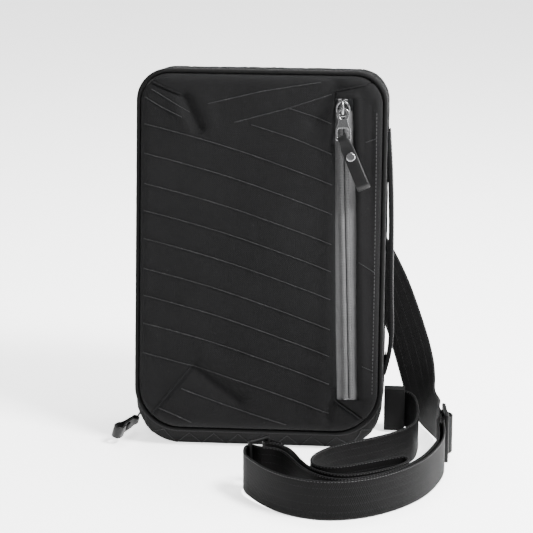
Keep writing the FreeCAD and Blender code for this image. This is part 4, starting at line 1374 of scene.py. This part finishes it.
@dataclass
class PocketZipper:
    """Pale coated zipper of the front pocket, hanging a little tipped."""

    shop: Workshop
    top_x: float = 65.1
    top_z: float = 281.0
    tilt: float = math.radians(2.1)
    length: float = 243.0

    def place(self, x: float, y: float, z: float) -> Vector:
        """Place a point drawn hanging from the zipper's top end."""
        cos, sin = math.cos(self.tilt), math.sin(self.tilt)
        return lean(self.top_x + x * cos - z * sin, y, self.top_z + x * sin + z * cos)

    def line(self, x: float, y: float, low: float, high: float, steps: int = 60) -> Track:
        """Straight track down the zipper."""
        points = [self.place(x, y, low + (high - low) * k / steps) for k in range(steps + 1)]
        return Track(points, [lean_way(0.0, -1.0, 0.0)] * (steps + 1))

    def half_tape(self, side: int, name: str, node: str) -> None:
        """Woven half tape with a rolled inner edge that covers the coil."""
        rows = []
        for k in range(122):
            z = -TAPE_START - (self.length - TAPE_START) * k / 121
            rows.append([self.place(side * x, y, z) for x, y in TAPE_PROFILE])
        draft = Draft()
        draft.bar(rows)
        piece = draft.make(name, self.shop.wardrobe.tape, 50.0)
        fit(piece, Body.COVER, Slot.TAPE, node)

    def build(self) -> None:
        """Make the tapes, the coil ribs, the stitch rows and the stops."""
        wardrobe = self.shop.wardrobe
        self.half_tape(-1, "pocket_tape_left_half", "pocket_tape_left")
        self.half_tape(1, "pocket_tape_right_half", "pocket_tape_right")
        for side, node, name in ((-1, "pocket_coil_left", "pocket_chain_left"),
                                 (1, "pocket_coil_right", "pocket_chain_right")):
            track = self.line(side * 2.15, -39.45, -2.6, 1.0 - self.length)
            chain = self.shop.coil(name, [track], 1.25, (0.95, 2.9, 1.0), wardrobe.pocket_coil)
            fit(chain, Body.COVER, Slot.COIL, node)
        rows = [self.line(side * 3.5, -39.75, -2.6, 1.0 - self.length) for side in (-1, 1)]
        sewn = self.shop.stitches("pocket_chain_stitches", rows, 2.15, 1.3, 0.55, wardrobe.thread)
        fit(sewn, Body.COVER, Slot.TAPE)
        stops = softened("pocket_zip_stops", "pocket_stops", wardrobe.nickel, 0.2)
        fit(stops, Body.COVER, Slot.NICKEL, "pocket_zip_stops")


def chain(*steps: tuple) -> Matrix:
    """Turns and moves one after the other, in the upright bag's millimetres.

    Args:
        steps: ("X", degrees) turns about an axis, (x, y, z) moves.

    Returns:
        The whole placing as one matrix.
    """
    placed = Matrix.Identity(4)
    for step in steps:
        if isinstance(step[0], str):
            placed = Matrix.Rotation(math.radians(step[1]), 4, step[0]) @ placed
        else:
            placed = Matrix.Translation(step) @ placed
    return placed


BRIDGE_AXIS = (0.0, -3.8, 0.0)
POCKET_PLACE = ((0.0, -38.8, -8.0), ("Y", -2.1), (65.1, 0.0, 281.0))
POCKET_LINK = (("X", -5.0), BRIDGE_AXIS, *POCKET_PLACE)
POCKET_TAB = (("X", -3.0), ("Y", -22.0), (0.0, 0.0, -24.5), *POCKET_LINK)
BASE_PLACE = (("X", 90.0), ("Z", -90.0), (-76.5, 0.0, 10.0))
SIDE_RING = (("X", -36.0), BRIDGE_AXIS, ("Z", -90.0), (-90.5, 0.0, 24.0))
SIDE_TAB = (("Y", -75.0), ("Z", -16.0), ("X", 15.0), (4.8, 0.0, -17.0), *SIDE_RING)


def arc(x: float, z: float, radius: float, start: float, end: float, steps: int,
        tall: float = 1.0) -> list[Point]:
    """Points of an arc.

    Args:
        x: Centre, sideways.
        z: Centre, upward.
        radius: Radius.
        start: First angle, in degrees.
        end: Last angle, in degrees.
        steps: Number of steps.
        tall: Factor that stretches its height.

    Returns:
        The points (x, z).
    """
    angles = [math.radians(start + (end - start) * k / steps) for k in range(steps + 1)]
    return [(x + radius * math.cos(a), z + radius * tall * math.sin(a)) for a in angles]


def stamped(name: str, loops: list[list[Point]], thick: float, round_off: float, place: Matrix,
            material: bpy.types.Material, depth: float = 0.0) -> bpy.types.Object:
    """Stamp a plate with holes from outlines (x, z), its edges rounded.

    Args:
        name: The piece's name.
        loops: The outer outline and the holes, in millimetres.
        thick: Thickness along Y.
        round_off: Radius of the rounded edges.
        place: Where the drawing goes on the upright bag.
        material: Its finish.
        depth: Depth of the plate's middle in the drawing.

    Returns:
        The new piece.
    """
    curve = bpy.data.curves.new(name, "CURVE")
    curve.dimensions, curve.fill_mode = "2D", "BOTH"
    curve.extrude, curve.bevel_depth = thick / 2 - round_off, round_off
    curve.offset, curve.bevel_resolution = -round_off, 2
    for loop in loops:
        line = curve.splines.new("POLY")
        line.points.add(len(loop) - 1)
        line.use_cyclic_u = True
        for point, (x, z) in zip(line.points, loop):
            point.co = (x, z, 0.0, 1.0)
    carrier = bpy.data.objects.new(name + "_outline", curve)
    bpy.context.scene.collection.objects.link(carrier)
    graph = bpy.context.evaluated_depsgraph_get()
    mesh = bpy.data.meshes.new_from_object(carrier.evaluated_get(graph), depsgraph=graph)
    bpy.data.objects.remove(carrier)
    build = bmesh.new()
    build.from_mesh(mesh)
    for vert in build.verts:
        x, z, y = vert.co
        vert.co = lean(*(place @ Vector((x, y + depth, z))))
    bmesh.ops.remove_doubles(build, verts=build.verts, dist=WELD)
    bmesh.ops.recalc_face_normals(build, faces=build.faces)
    build.to_mesh(mesh)
    build.free()
    return present(name, mesh, material, 50.0)


@dataclass
class PullLink:
    """Stamped link: oval eye, narrow neck and a frame whose foot bar holds the tab."""

    name: str
    place: Matrix
    body: Body
    node: str
    finish: bpy.types.Material

    def build(self) -> None:
        """Stamp the link."""
        flank = [(3.7, -9.6), (4.3, -12.8), (6.0, -16.5), (6.3, -23.4)]
        outer = arc(0.0, -4.6, 5.2, 200.0, -20.0, 22) + flank
        outer += arc(4.6, -24.1, 1.6, -10.0, -90.0, 4) + arc(-4.6, -24.1, 1.6, -90.0, -170.0, 4)
        outer += [(-x, z) for x, z in reversed(flank)]
        eye = arc(0.0, -4.9, 2.9, 0.0, 345.0, 23, 1.25)
        window = [(-3.4, -15.9), (3.4, -15.9), (4.5, -17.4), (4.7, -22.2), (4.1, -23.1), (-4.1, -23.1),
                  (-4.7, -22.2), (-4.5, -17.4)]
        piece = stamped(self.name, [outer, eye, window], 1.6, 0.55, self.place, self.finish)
        fit(piece, self.body, Slot.NICKEL, self.node)


@dataclass
class PocketSlider:
    """Rounded slider with a high arch, running on the pocket chain."""

    shop: Workshop

    def build(self) -> None:
        """Make the shoulders, the back plate and the arch."""
        place = chain(*POCKET_PLACE)
        nickel = self.shop.wardrobe.nickel
        rim = arc(0.0, -0.6, 5.75, 0.0, 352.0, 44, 1.18)
        well = arc(0.0, -0.6, 4.1, 0.0, 348.0, 29, 1.22)
        top = stamped("pocket_slider_top", [rim, well], 1.5, 0.55, place, nickel, -2.1)
        fit(top, Body.POCKET_RUNNER, Slot.NICKEL, "pocket_slider")
        back = stamped("pocket_slider_back", [rim], 1.2, 0.4, place, self.shop.wardrobe.dark_metal, 0.2)
        fit(back, Body.POCKET_RUNNER, Slot.NICKEL)
        points = [(0.0, -1.8, 5.4), (0.0, -3.8, 5.3), (0.0, -5.0, 4.2), (0.0, -5.5, 2.2), (0.0, -5.6, 0.0),
                  (0.0, -5.5, -2.2), (0.0, -5.2, -4.0), (0.0, -4.0, -5.1), (0.0, -1.8, -5.3)]
        ways = [lean_way(0.0, -1.0, 0.0)] * len(points)
        track = Track([lean(*(place @ Vector(p))) for p in points], ways)
        arch = self.shop.ridges("pocket_slider_loop", [track], 1.0, nickel)
        fit(arch, Body.POCKET_RUNNER, Slot.NICKEL, "pocket_slider_bridge")


@dataclass
class PullTab:
    """Strip folded round the puller's bar, riveted, with an open loop at its foot."""

    name: str
    length: float
    place: Matrix
    body: Body
    node: str
    finish: bpy.types.Material
    neck: float = 8.2
    width: float = 10.6

    def fold(self) -> list[Point]:
        """Middle line (y, z): down the front, round the foot, up the back, over the bar."""
        foot = 3.55 - self.length + 4.2
        front = [(-2.35, -1.5), (-1.5, -4.5), (-1.0, -8.0), (-0.9, -15.5), (-1.0, -19.0), (-1.9, -24.0),
                 (-3.1, foot + 5.0)]
        foot_arc = arc(0.0, foot, 3.5, 180.0, 360.0, 12)
        back = [(-y, z) for y, z in reversed(front)]
        head = arc(0.0, 0.0, 2.5, 0.0, 180.0, 10)[1:-1]
        return front + foot_arc + back + head

    def build(self) -> None:
        """Make the strip."""
        line = self.fold()
        count = len(line)
        rows = []
        for i in range(count):
            (ay, az), (by, bz) = line[i - 1], line[(i + 1) % count]
            run = math.hypot(by - ay, bz - az)
            ny, nz = (bz - az) / run, -(by - ay) / run
            y, z = line[i]
            half = (self.neck + (self.width - self.neck) * smooth((-z - 3.0) / 6.0)) / 2
            shape = [(-half, 0.0), (-half + 0.3, 0.55), (-half + 0.9, 0.7), (half - 0.9, 0.7),
                     (half - 0.3, 0.55)]
            shape += [(-x, -t) for x, t in shape]
            rows.append([lean(*(self.place @ Vector((x, y + ny * t, z + nz * t)))) for x, t in shape])
        draft = Draft()
        draft.grid(rows, loop_u=True, loop_v=True)
        fit(draft.make(self.name, self.finish, 70.0), self.body, Slot.TAB, self.node)


@dataclass
class Fittings:
    """Sliders, pullers, rivets, the adjuster and the ring, with eased edges."""

    shop: Workshop

    def build(self) -> None:
        """Ease and dress every fitting."""
        wardrobe = self.shop.wardrobe
        metal, black, tab = wardrobe.nickel, wardrobe.dark_metal, wardrobe.leather
        PocketSlider(self.shop).build()
        PullLink("pocket_puller_link", chain(*POCKET_LINK), Body.POCKET_LINK, "pocket_pull_link",
                 metal).build()
        PullLink("base_puller_link", chain(BRIDGE_AXIS, *BASE_PLACE), Body.BASE_LINK, "base_pull_link",
                 black).build()
        PullTab("pocket_puller_tab", 47.0, chain(*POCKET_TAB), Body.POCKET_TAB, "pocket_pull_tab",
                tab).build()
        PullTab("side_puller_tab", 38.0, chain(*SIDE_TAB), Body.SIDE_TAB, "side_pull_tab", tab,
                6.0).build()
        table = [
            ("pocket_pull_rivet", "pocket_puller_rivet", metal, 0.25, Body.POCKET_TAB, Slot.NICKEL),
            ("side_slider", "side_slider_body", black, 0.45, Body.SIDE_RUNNER, Slot.NICKEL),
            ("side_slider_bridge", "side_slider_arch", black, 0.5, Body.SIDE_RUNNER, Slot.NICKEL),
            ("side_pull_rivet", "side_puller_rivet", black, 0.25, Body.SIDE_TAB, Slot.NICKEL),
            ("base_slider", "base_slider_body", black, 0.45, Body.BASE_RUNNER, Slot.NICKEL),
            ("base_slider_bridge", "base_slider_arch", black, 0.5, Body.BASE_RUNNER, Slot.NICKEL),
            ("tri_glide", "strap_adjuster", black, 0.9, Body.SHELL, Slot.GLIDE),
            ("strap_ring", "strap_ring_wire", black, 0.9, Body.SHELL, Slot.NICKEL),
            ("strap_anchor_tab", "corner_tab", wardrobe.gusset, 0.7, Body.SHELL, Slot.SHELL),
            ("handle_patches", "handle_end_patches", wardrobe.gusset, 0.3, Body.SHELL, Slot.SHELL),
            ("sleeve_panel", "sleeve_divider", wardrobe.lining, 0.5, Body.SHELL, Slot.LINING),
            ("sleeve_binding", "sleeve_elastic", wardrobe.elastic, 0.8, Body.SHELL, Slot.ELASTIC),
        ]
        for node, name, finish, bevel, body, slot in table:
            fit(softened(node, name, finish, bevel), body, slot, node)
        carried = {"side_pull_ring": black, "rear_lining": wardrobe.lining, "front_lining": wardrobe.lining,
                   "pocket_backing": wardrobe.lining, "frame_sheet": wardrobe.board}
        for node, finish in carried.items():
            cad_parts[node].data.materials.clear()
            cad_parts[node].data.materials.append(finish)


# ---------------------------------------------------------------- handle and straps


def spline(knots: list[float], values: list[float]) -> Profile:
    """Natural cubic through values at knots, as a function.

    Args:
        knots: Rising positions.
        values: The value at each.

    Returns:
        A function from position to value.
    """
    n = len(knots)
    bend = [0.0] * n
    work = [0.0] * n
    for i in range(1, n - 1):
        share = (knots[i] - knots[i - 1]) / (knots[i + 1] - knots[i - 1])
        p = share * bend[i - 1] + 2.0
        bend[i] = (share - 1.0) / p
        rise = (values[i + 1] - values[i]) / (knots[i + 1] - knots[i])
        rise -= (values[i] - values[i - 1]) / (knots[i] - knots[i - 1])
        work[i] = (6.0 * rise / (knots[i + 1] - knots[i - 1]) - share * work[i - 1]) / p
    for i in range(n - 2, -1, -1):
        bend[i] = bend[i] * bend[i + 1] + work[i]

    def read(t: float) -> float:
        """Value at a position."""
        i = max(k for k in range(n - 1) if knots[k] <= t or k == 0)
        h = knots[i + 1] - knots[i]
        a, b = (knots[i + 1] - t) / h, (t - knots[i]) / h
        curve = (a**3 - a) * bend[i] + (b**3 - b) * bend[i + 1]
        return a * values[i] + b * values[i + 1] + curve * h * h / 6.0

    return read


@dataclass
class Webbing:
    """Flat webbing laid through rows (x, y, z, width direction), in millimetres."""

    shop: Workshop
    name: str
    rows: list[Point]
    width: float = WEB
    thick: float = 1.5
    step: float = 2.5

    def layout(self) -> list[tuple[float, Vector, Vector, Vector]]:
        """Length run, centre, width and face directions all along."""
        centres = [Vector(r[:3]) for r in self.rows]
        ends = [c + Vector(r[3:]) * self.width for c, r in zip(centres, self.rows)]
        knots = [0.0]
        for a, b in zip(centres[:-1], centres[1:]):
            knots.append(knots[-1] + (b - a).length)
        middle = [spline(knots, [c[i] for c in centres]) for i in range(3)]
        outer = [spline(knots, [c[i] for c in ends]) for i in range(3)]
        count = int(knots[-1] / self.step)
        found, run, before = [], 0.0, None
        for k in range(count + 1):
            t = knots[-1] * k / count
            centre = Vector([f(t) for f in middle])
            near = [max(0.0, t - 0.2), min(knots[-1], t + 0.2)]
            along = Vector([f(near[1]) - f(near[0]) for f in middle]).normalized()
            across = (Vector([f(t) for f in outer]) - centre).normalized()
            face = along.cross(across).normalized()
            run += (centre - before).length if before is not None else 0.0
            before = centre
            found.append((run, centre, across, face))
        return found

    def build(self, slot: Slot, finish: bpy.types.Material, *nodes: str) -> None:
        """Weave the strap with its rounded selvedges and edge stitches.

        Args:
            slot: Its material slot.
            finish: Its finish.
            nodes: The CAD nodes it replaces.
        """
        half, thin = self.width / 2, self.thick / 2
        shape = [(-half, 0.0), (-half + 0.35, 0.75 * thin), (-half + 1.2, thin), (-half * 0.5, thin * 0.9),
                 (0.0, thin), (half * 0.5, thin * 0.9), (half - 1.2, thin), (half - 0.35, 0.75 * thin)]
        ring = shape + [(-w, -t) for w, t in shape]
        rows, uvs = [], []
        spots = self.layout()
        for run, centre, across, face in spots:
            rows.append([(centre + across * w + face * t + FOOT_SHIFT) * MM for w, t in ring])
            uvs.append([((w + half) * MM, run * MM) for w, _ in ring])
        draft = Draft()
        draft.bar(rows, uvs)
        fit(draft.make(self.name, finish, 70.0), Body.SHELL, slot, *nodes)
        tracks = []
        for side in (-1, 1):
            for level in (-1, 1):
                places = [(c + a * side * (half - 1.1) + f * level * thin * 0.97 + FOOT_SHIFT) * MM
                          for _, c, a, f in spots]
                tracks.append(Track(places, [f * level for _, _, _, f in spots]))
        fit(self.shop.stitches(self.name + "_selvedge", tracks, 2.6, 1.7, 0.5), Body.SHELL, Slot.WEBBING)
        LOG.info("%s is %.0f mm long", self.name, spots[-1][0])


@dataclass
class SideHandle:
    """Webbing grab handle standing off the right side."""

    shop: Workshop
    low: float = 9.0
    high: float = 30.0
    thick: float = 3.8
    path: tuple[Point, ...] = ((98.1, 252.0), (99.3, 236.0), (101.3, 200.0), (102.3, 150.0),
                               (103.0, 110.0), (103.2, 76.0), (100.8, 61.0), (98.3, 52.0))

    def build(self) -> None:
        """Make the folded strip and its two rows of stitches."""
        knots = [0.0]
        for a, b in zip(self.path[:-1], self.path[1:]):
            knots.append(knots[-1] + math.hypot(b[0] - a[0], b[1] - a[1]))
        across, up = (spline(knots, [p[i] for p in self.path]) for i in (0, 1))
        count = 90
        rows, uvs, tracks = [], [], [[], []]
        width = self.high - self.low
        ring = [(0.0, 0.4), (0.25, 0.05), (1.0, 0.0), (width / 2, 0.0), (width - 1.0, 0.0),
                (width - 0.25, 0.05), (width, 0.4)]
        ring += [(d, self.thick - t) for d, t in reversed(ring)]
        for k in range(count + 1):
            t = knots[-1] * k / count
            x, z = across(t), up(t)
            rows.append([lean(x + off, self.low + d, z) for d, off in ring])
            uvs.append([(d * MM, t * MM) for d, _ in ring])
            for row, d in zip(tracks, (1.8, width - 1.8)):
                row.append(lean(x + self.thick, self.low + d, z))
        draft = Draft()
        draft.bar(rows, uvs)
        piece = draft.make("grab_handle", self.shop.wardrobe.handle, 60.0)
        fit(piece, Body.SHELL, Slot.WEBBING, "side_handle")
        way = lean_way(1.0, 0.0, 0.0)
        sewn = [Track(row, [way] * len(row)) for row in tracks]
        fit(self.shop.stitches("grab_handle_stitches", sewn), Body.SHELL, Slot.WEBBING)


STRAP_DROP = [(34.0, 86.6, 226.0, 0.86, 0.08, 0.50), (50.0, 82.6, 199.0, 0.86, 0.07, 0.51),
    (74.0, 78.0, 161.0, 0.87, 0.05, 0.48), (91.0, 74.0, 134.0, 0.89, 0.03, 0.46),
    (104.5, 70.5, 107.5, 0.91, 0.0, 0.41), (113.5, 68.0, 84.0, 0.93, 0.0, 0.36),
    (121.0, 65.0, 62.0, 0.94, 0.0, 0.34), (127.0, 58.5, 42.0, 0.88, -0.05, 0.47),
    (131.5, 48.0, 26.0, 0.70, -0.05, 0.71), (135.5, 35.0, 18.5, 0.44, 0.0, 0.90),
    (140.5, 18.0, 17.0, 0.28, 0.0, 0.96), (145.0, 0.0, 17.8, 0.14, 0.0, 0.99)]
GLIDE_PASS = [(-24.0, -3.6), (-17.0, -3.3), (-12.0, -2.9), (-8.0, 0.3), (-4.0, 4.0), (0.0, 5.3),
    (4.0, 4.0), (8.0, 0.3), (12.0, -2.9), (17.0, -3.3), (24.0, -3.4)]
GLIDE_FOLD = [(24.0, -8.2), (14.0, -7.8), (8.0, -6.7), (1.6, -4.0), (-1.8, -2.9), (-3.3, -0.2),
    (-2.2, 2.1), (0.0, 2.9), (2.6, 2.0), (5.0, -1.0), (8.5, -4.1), (14.0, -5.4), (20.0, -5.7)]
FRONT_ARC = [(151.0, -84.0, 17.6), (147.0, -101.0, 16.4), (140.0, -121.0, 16.0), (129.0, -141.0, 16.0),
    (113.0, -159.5, 16.0), (91.0, -175.0, 16.0), (64.0, -181.5, 16.0), (38.0, -174.5, 16.0),
    (18.0, -160.0, 16.6), (5.0, -145.0, 18.0), (-0.5, -136.0, 19.0)]
RING_BEND_MAIN = [(-1.9, -128.0, 19.8), (-1.2, -123.0, 20.0), (0.8, -120.0, 20.0), (3.2, -119.2, 20.0),
    (5.6, -120.4, 20.0), (9.0, -122.4, 20.0), (14.0, -123.2, 19.8), (20.0, -122.6, 19.2)]
RETURN_RUN = [(27.0, -125.0, 18.2), (34.0, -133.5, 17.0), (41.0, -146.5, 16.2), (49.0, -159.0, 16.0),
    (60.0, -170.0, 16.0), (74.0, -175.3, 16.0), (89.5, -171.5, 16.0), (110.5, -156.5, 16.0),
    (126.0, -138.5, 16.0), (136.5, -119.0, 16.0), (143.2, -99.5, 16.4), (147.0, -83.0, 17.6)]
LOWER_RUN = [(105.0, 19.0, 19.6), (113.0, 19.0, 19.6), (120.0, 17.6, 19.2), (125.5, 11.0, 18.4),
    (128.5, -2.0, 17.0), (129.8, -20.0, 16.2), (129.0, -36.0, 16.0), (126.5, -50.0, 16.0),
    (120.0, -61.5, 16.0), (110.0, -73.0, 16.0), (97.0, -84.0, 16.0), (81.0, -95.0, 16.0),
    (66.0, -106.5, 16.0), (55.5, -119.5, 16.0), (50.8, -132.0, 16.0), (51.8, -143.5, 16.0),
    (57.5, -150.0, 16.0), (66.5, -151.2, 16.0), (78.0, -147.5, 16.0), (92.0, -139.5, 16.0),
    (106.0, -131.0, 16.0), (115.5, -125.6, 16.0), (121.8, -124.4, 16.0), (124.6, -128.4, 16.0),
    (122.6, -136.0, 16.0), (116.0, -144.5, 16.0), (105.5, -153.0, 16.0), (92.0, -161.5, 16.0),
    (78.0, -166.5, 16.0), (66.0, -164.5, 16.0), (55.0, -157.0, 16.0), (46.0, -145.0, 16.2),
    (39.0, -131.0, 17.0), (32.0, -119.5, 18.2), (25.0, -115.2, 19.2), (18.0, -113.6, 20.0),
    (12.8, -111.8, 20.0), (11.2, -108.6, 20.0), (13.2, -105.9, 20.0), (16.8, -106.6, 20.0),
    (20.5, -109.2, 19.8), (26.0, -111.4, 19.2)]


@dataclass
class StrapHeap:
    """The shoulder strap: its upper part with adjuster and ring, and its lower part."""

    shop: Workshop
    glide: Point = (152.0, -38.0)
    turn: float = math.radians(6.0)

    def glide_row(self, along: float, outward: float) -> Point:
        """Row given in the adjuster's own plane."""
        sin, cos = math.sin(self.turn), math.cos(self.turn)
        x = self.glide[0] + along * sin + outward * cos
        y = self.glide[1] - along * cos + outward * sin
        return (x, y, 20.0, 0.0, 0.0, 1.0)

    def build(self) -> None:
        """Lay both webbings."""
        upright = [(*p, 0.0, 0.0, 1.0) for p in FRONT_ARC + RING_BEND_MAIN + RETURN_RUN]
        upper = STRAP_DROP + [self.glide_row(*p) for p in GLIDE_PASS] + upright
        upper += [self.glide_row(*p) for p in GLIDE_FOLD]
        lower = [(*p, 0.0, 0.0, 1.0) for p in LOWER_RUN]
        finish = self.shop.wardrobe.webbing
        Webbing(self.shop, "upper_strap", upper).build(Slot.WEBBING, finish, "main_strap")
        Webbing(self.shop, "lower_strap_web", lower).build(Slot.WEBBING, finish, "lower_strap")


# ---------------------------------------------------------------- floor, light and camera


@dataclass(frozen=True)
class SoftBox:
    """One large soft lamp aimed at a point."""

    name: str
    place: Point
    size: Point
    power: float
    aim: Point = (0.0, -0.02, 0.14)

    def hang(self) -> None:
        """Make the lamp."""
        lamp = bpy.data.lights.new(self.name, "AREA")
        lamp.shape = "RECTANGLE"
        lamp.size, lamp.size_y = self.size
        lamp.energy = self.power
        holder = bpy.data.objects.new(self.name, lamp)
        holder.location = self.place
        holder.rotation_euler = (Vector(self.aim) - Vector(self.place)).to_track_quat("-Z", "Y").to_euler()
        bpy.context.scene.collection.objects.link(holder)


@dataclass(frozen=True)
class Studio:
    """Pale floor, soft light and the camera."""

    camera_place: Point = (0.15499, -1.79127, 0.65993)
    pitch: float = math.radians(16.165)
    yaw: float = math.radians(4.849)
    lens: float = 154.3
    sensor: float = 36.0

    def build(self) -> None:
        """Make the floor, the sky, the lamps and the camera."""
        floor = bpy.data.meshes.new("studio_floor")
        far = 30.0
        floor.from_pydata([(-far, -far, 0.0), (far, -far, 0.0), (far, far, 0.0), (-far, far, 0.0)], [],
                          [(0, 1, 2, 3)])
        paper = bpy.data.materials.new("floor_paper")
        paper.use_nodes = True
        shader = paper.node_tree.nodes["Principled BSDF"]
        shader.inputs["Base Color"].default_value = (0.93, 0.93, 0.93, 1.0)
        shader.inputs["Roughness"].default_value = 0.9
        shader.inputs["Specular IOR Level"].default_value = 0.1
        shader.inputs["Emission Color"].default_value = (1.0, 1.0, 1.0, 1.0)
        shader.inputs["Emission Strength"].default_value = 1.7
        floor.materials.append(paper)
        ground = bpy.data.objects.new("studio_floor", floor)
        bpy.context.scene.collection.objects.link(ground)
        world = bpy.data.worlds.new("studio_air")
        world.use_nodes = True
        world.node_tree.nodes["Background"].inputs[0].default_value = (1.0, 1.0, 1.0, 1.0)
        world.node_tree.nodes["Background"].inputs[1].default_value = 0.6
        bpy.context.scene.world = world
        for lamp in (
            SoftBox("key_light", (0.8, -0.45, 1.25), (0.4, 0.4), 75.0),
            SoftBox("top_light", (0.1, 0.45, 1.3), (1.0, 0.5), 30.0),
            SoftBox("side_light", (1.4, -0.25, 0.5), (0.5, 0.9), 22.0),
            SoftBox("fill_light", (-1.2, -0.9, 0.8), (0.8, 0.8), 4.0),
        ):
            lamp.hang()
        lens = bpy.data.cameras.new("front_camera")
        lens.lens = self.lens
        lens.sensor_width = self.sensor
        lens.clip_end = 100.0
        camera = bpy.data.objects.new("front_camera", lens)
        camera.location = self.camera_place
        camera.rotation_euler = (math.pi / 2 - self.pitch, 0.0, self.yaw)
        bpy.context.scene.collection.objects.link(camera)
        bpy.context.scene.camera = camera


SLOPE = math.tan(LEAN)
FRONT_STATIONS = ((-32.4, 2.6, 9.4, 299.6), (-24.0, 0.0, -24.0 * SLOPE, BODY_TOP),
                  (-12.0, 0.0, -12.0 * SLOPE, BODY_TOP), (-7.0, 3.0, 6.0, 299.0))
REAR_STATIONS = ((7.0, 3.0, 7.5, 299.0), (12.0, 0.0, 12.0 * SLOPE, BODY_TOP),
                 (27.0, 0.0, 27.0 * SLOPE, BODY_TOP), (34.0, 2.5, 34.0 * SLOPE, 299.0))


def main() -> None:
    """Build the bag's sub-assemblies in order."""
    logging.basicConfig(level=logging.INFO, format="%(message)s")
    Studio().build()
    shop = Workshop(fill_wardrobe(), bead_tree(), cord_tree())
    Gusset(shop, "cover_gusset", Body.COVER, FRONT_STATIONS, "front_gusset", -10.0).build()
    Gusset(shop, "shell_gusset", Body.SHELL, REAR_STATIONS, "rear_gusset", 10.0).build()
    Piping(shop, "front_cord", Body.COVER, "front_piping", -33.6, 9.2, 1.6, 1.9).build()
    Piping(shop, "rear_cord", Body.SHELL, "rear_piping", 36.8, 8.6).build()
    FrontFace(shop).build()
    BackPad(shop).build()
    MainZipper(shop).build()
    PocketZipper(shop).build()
    Fittings(shop).build()
    SideHandle(shop).build()
    StrapHeap(shop).build()


if __name__ == "__main__":
    main()
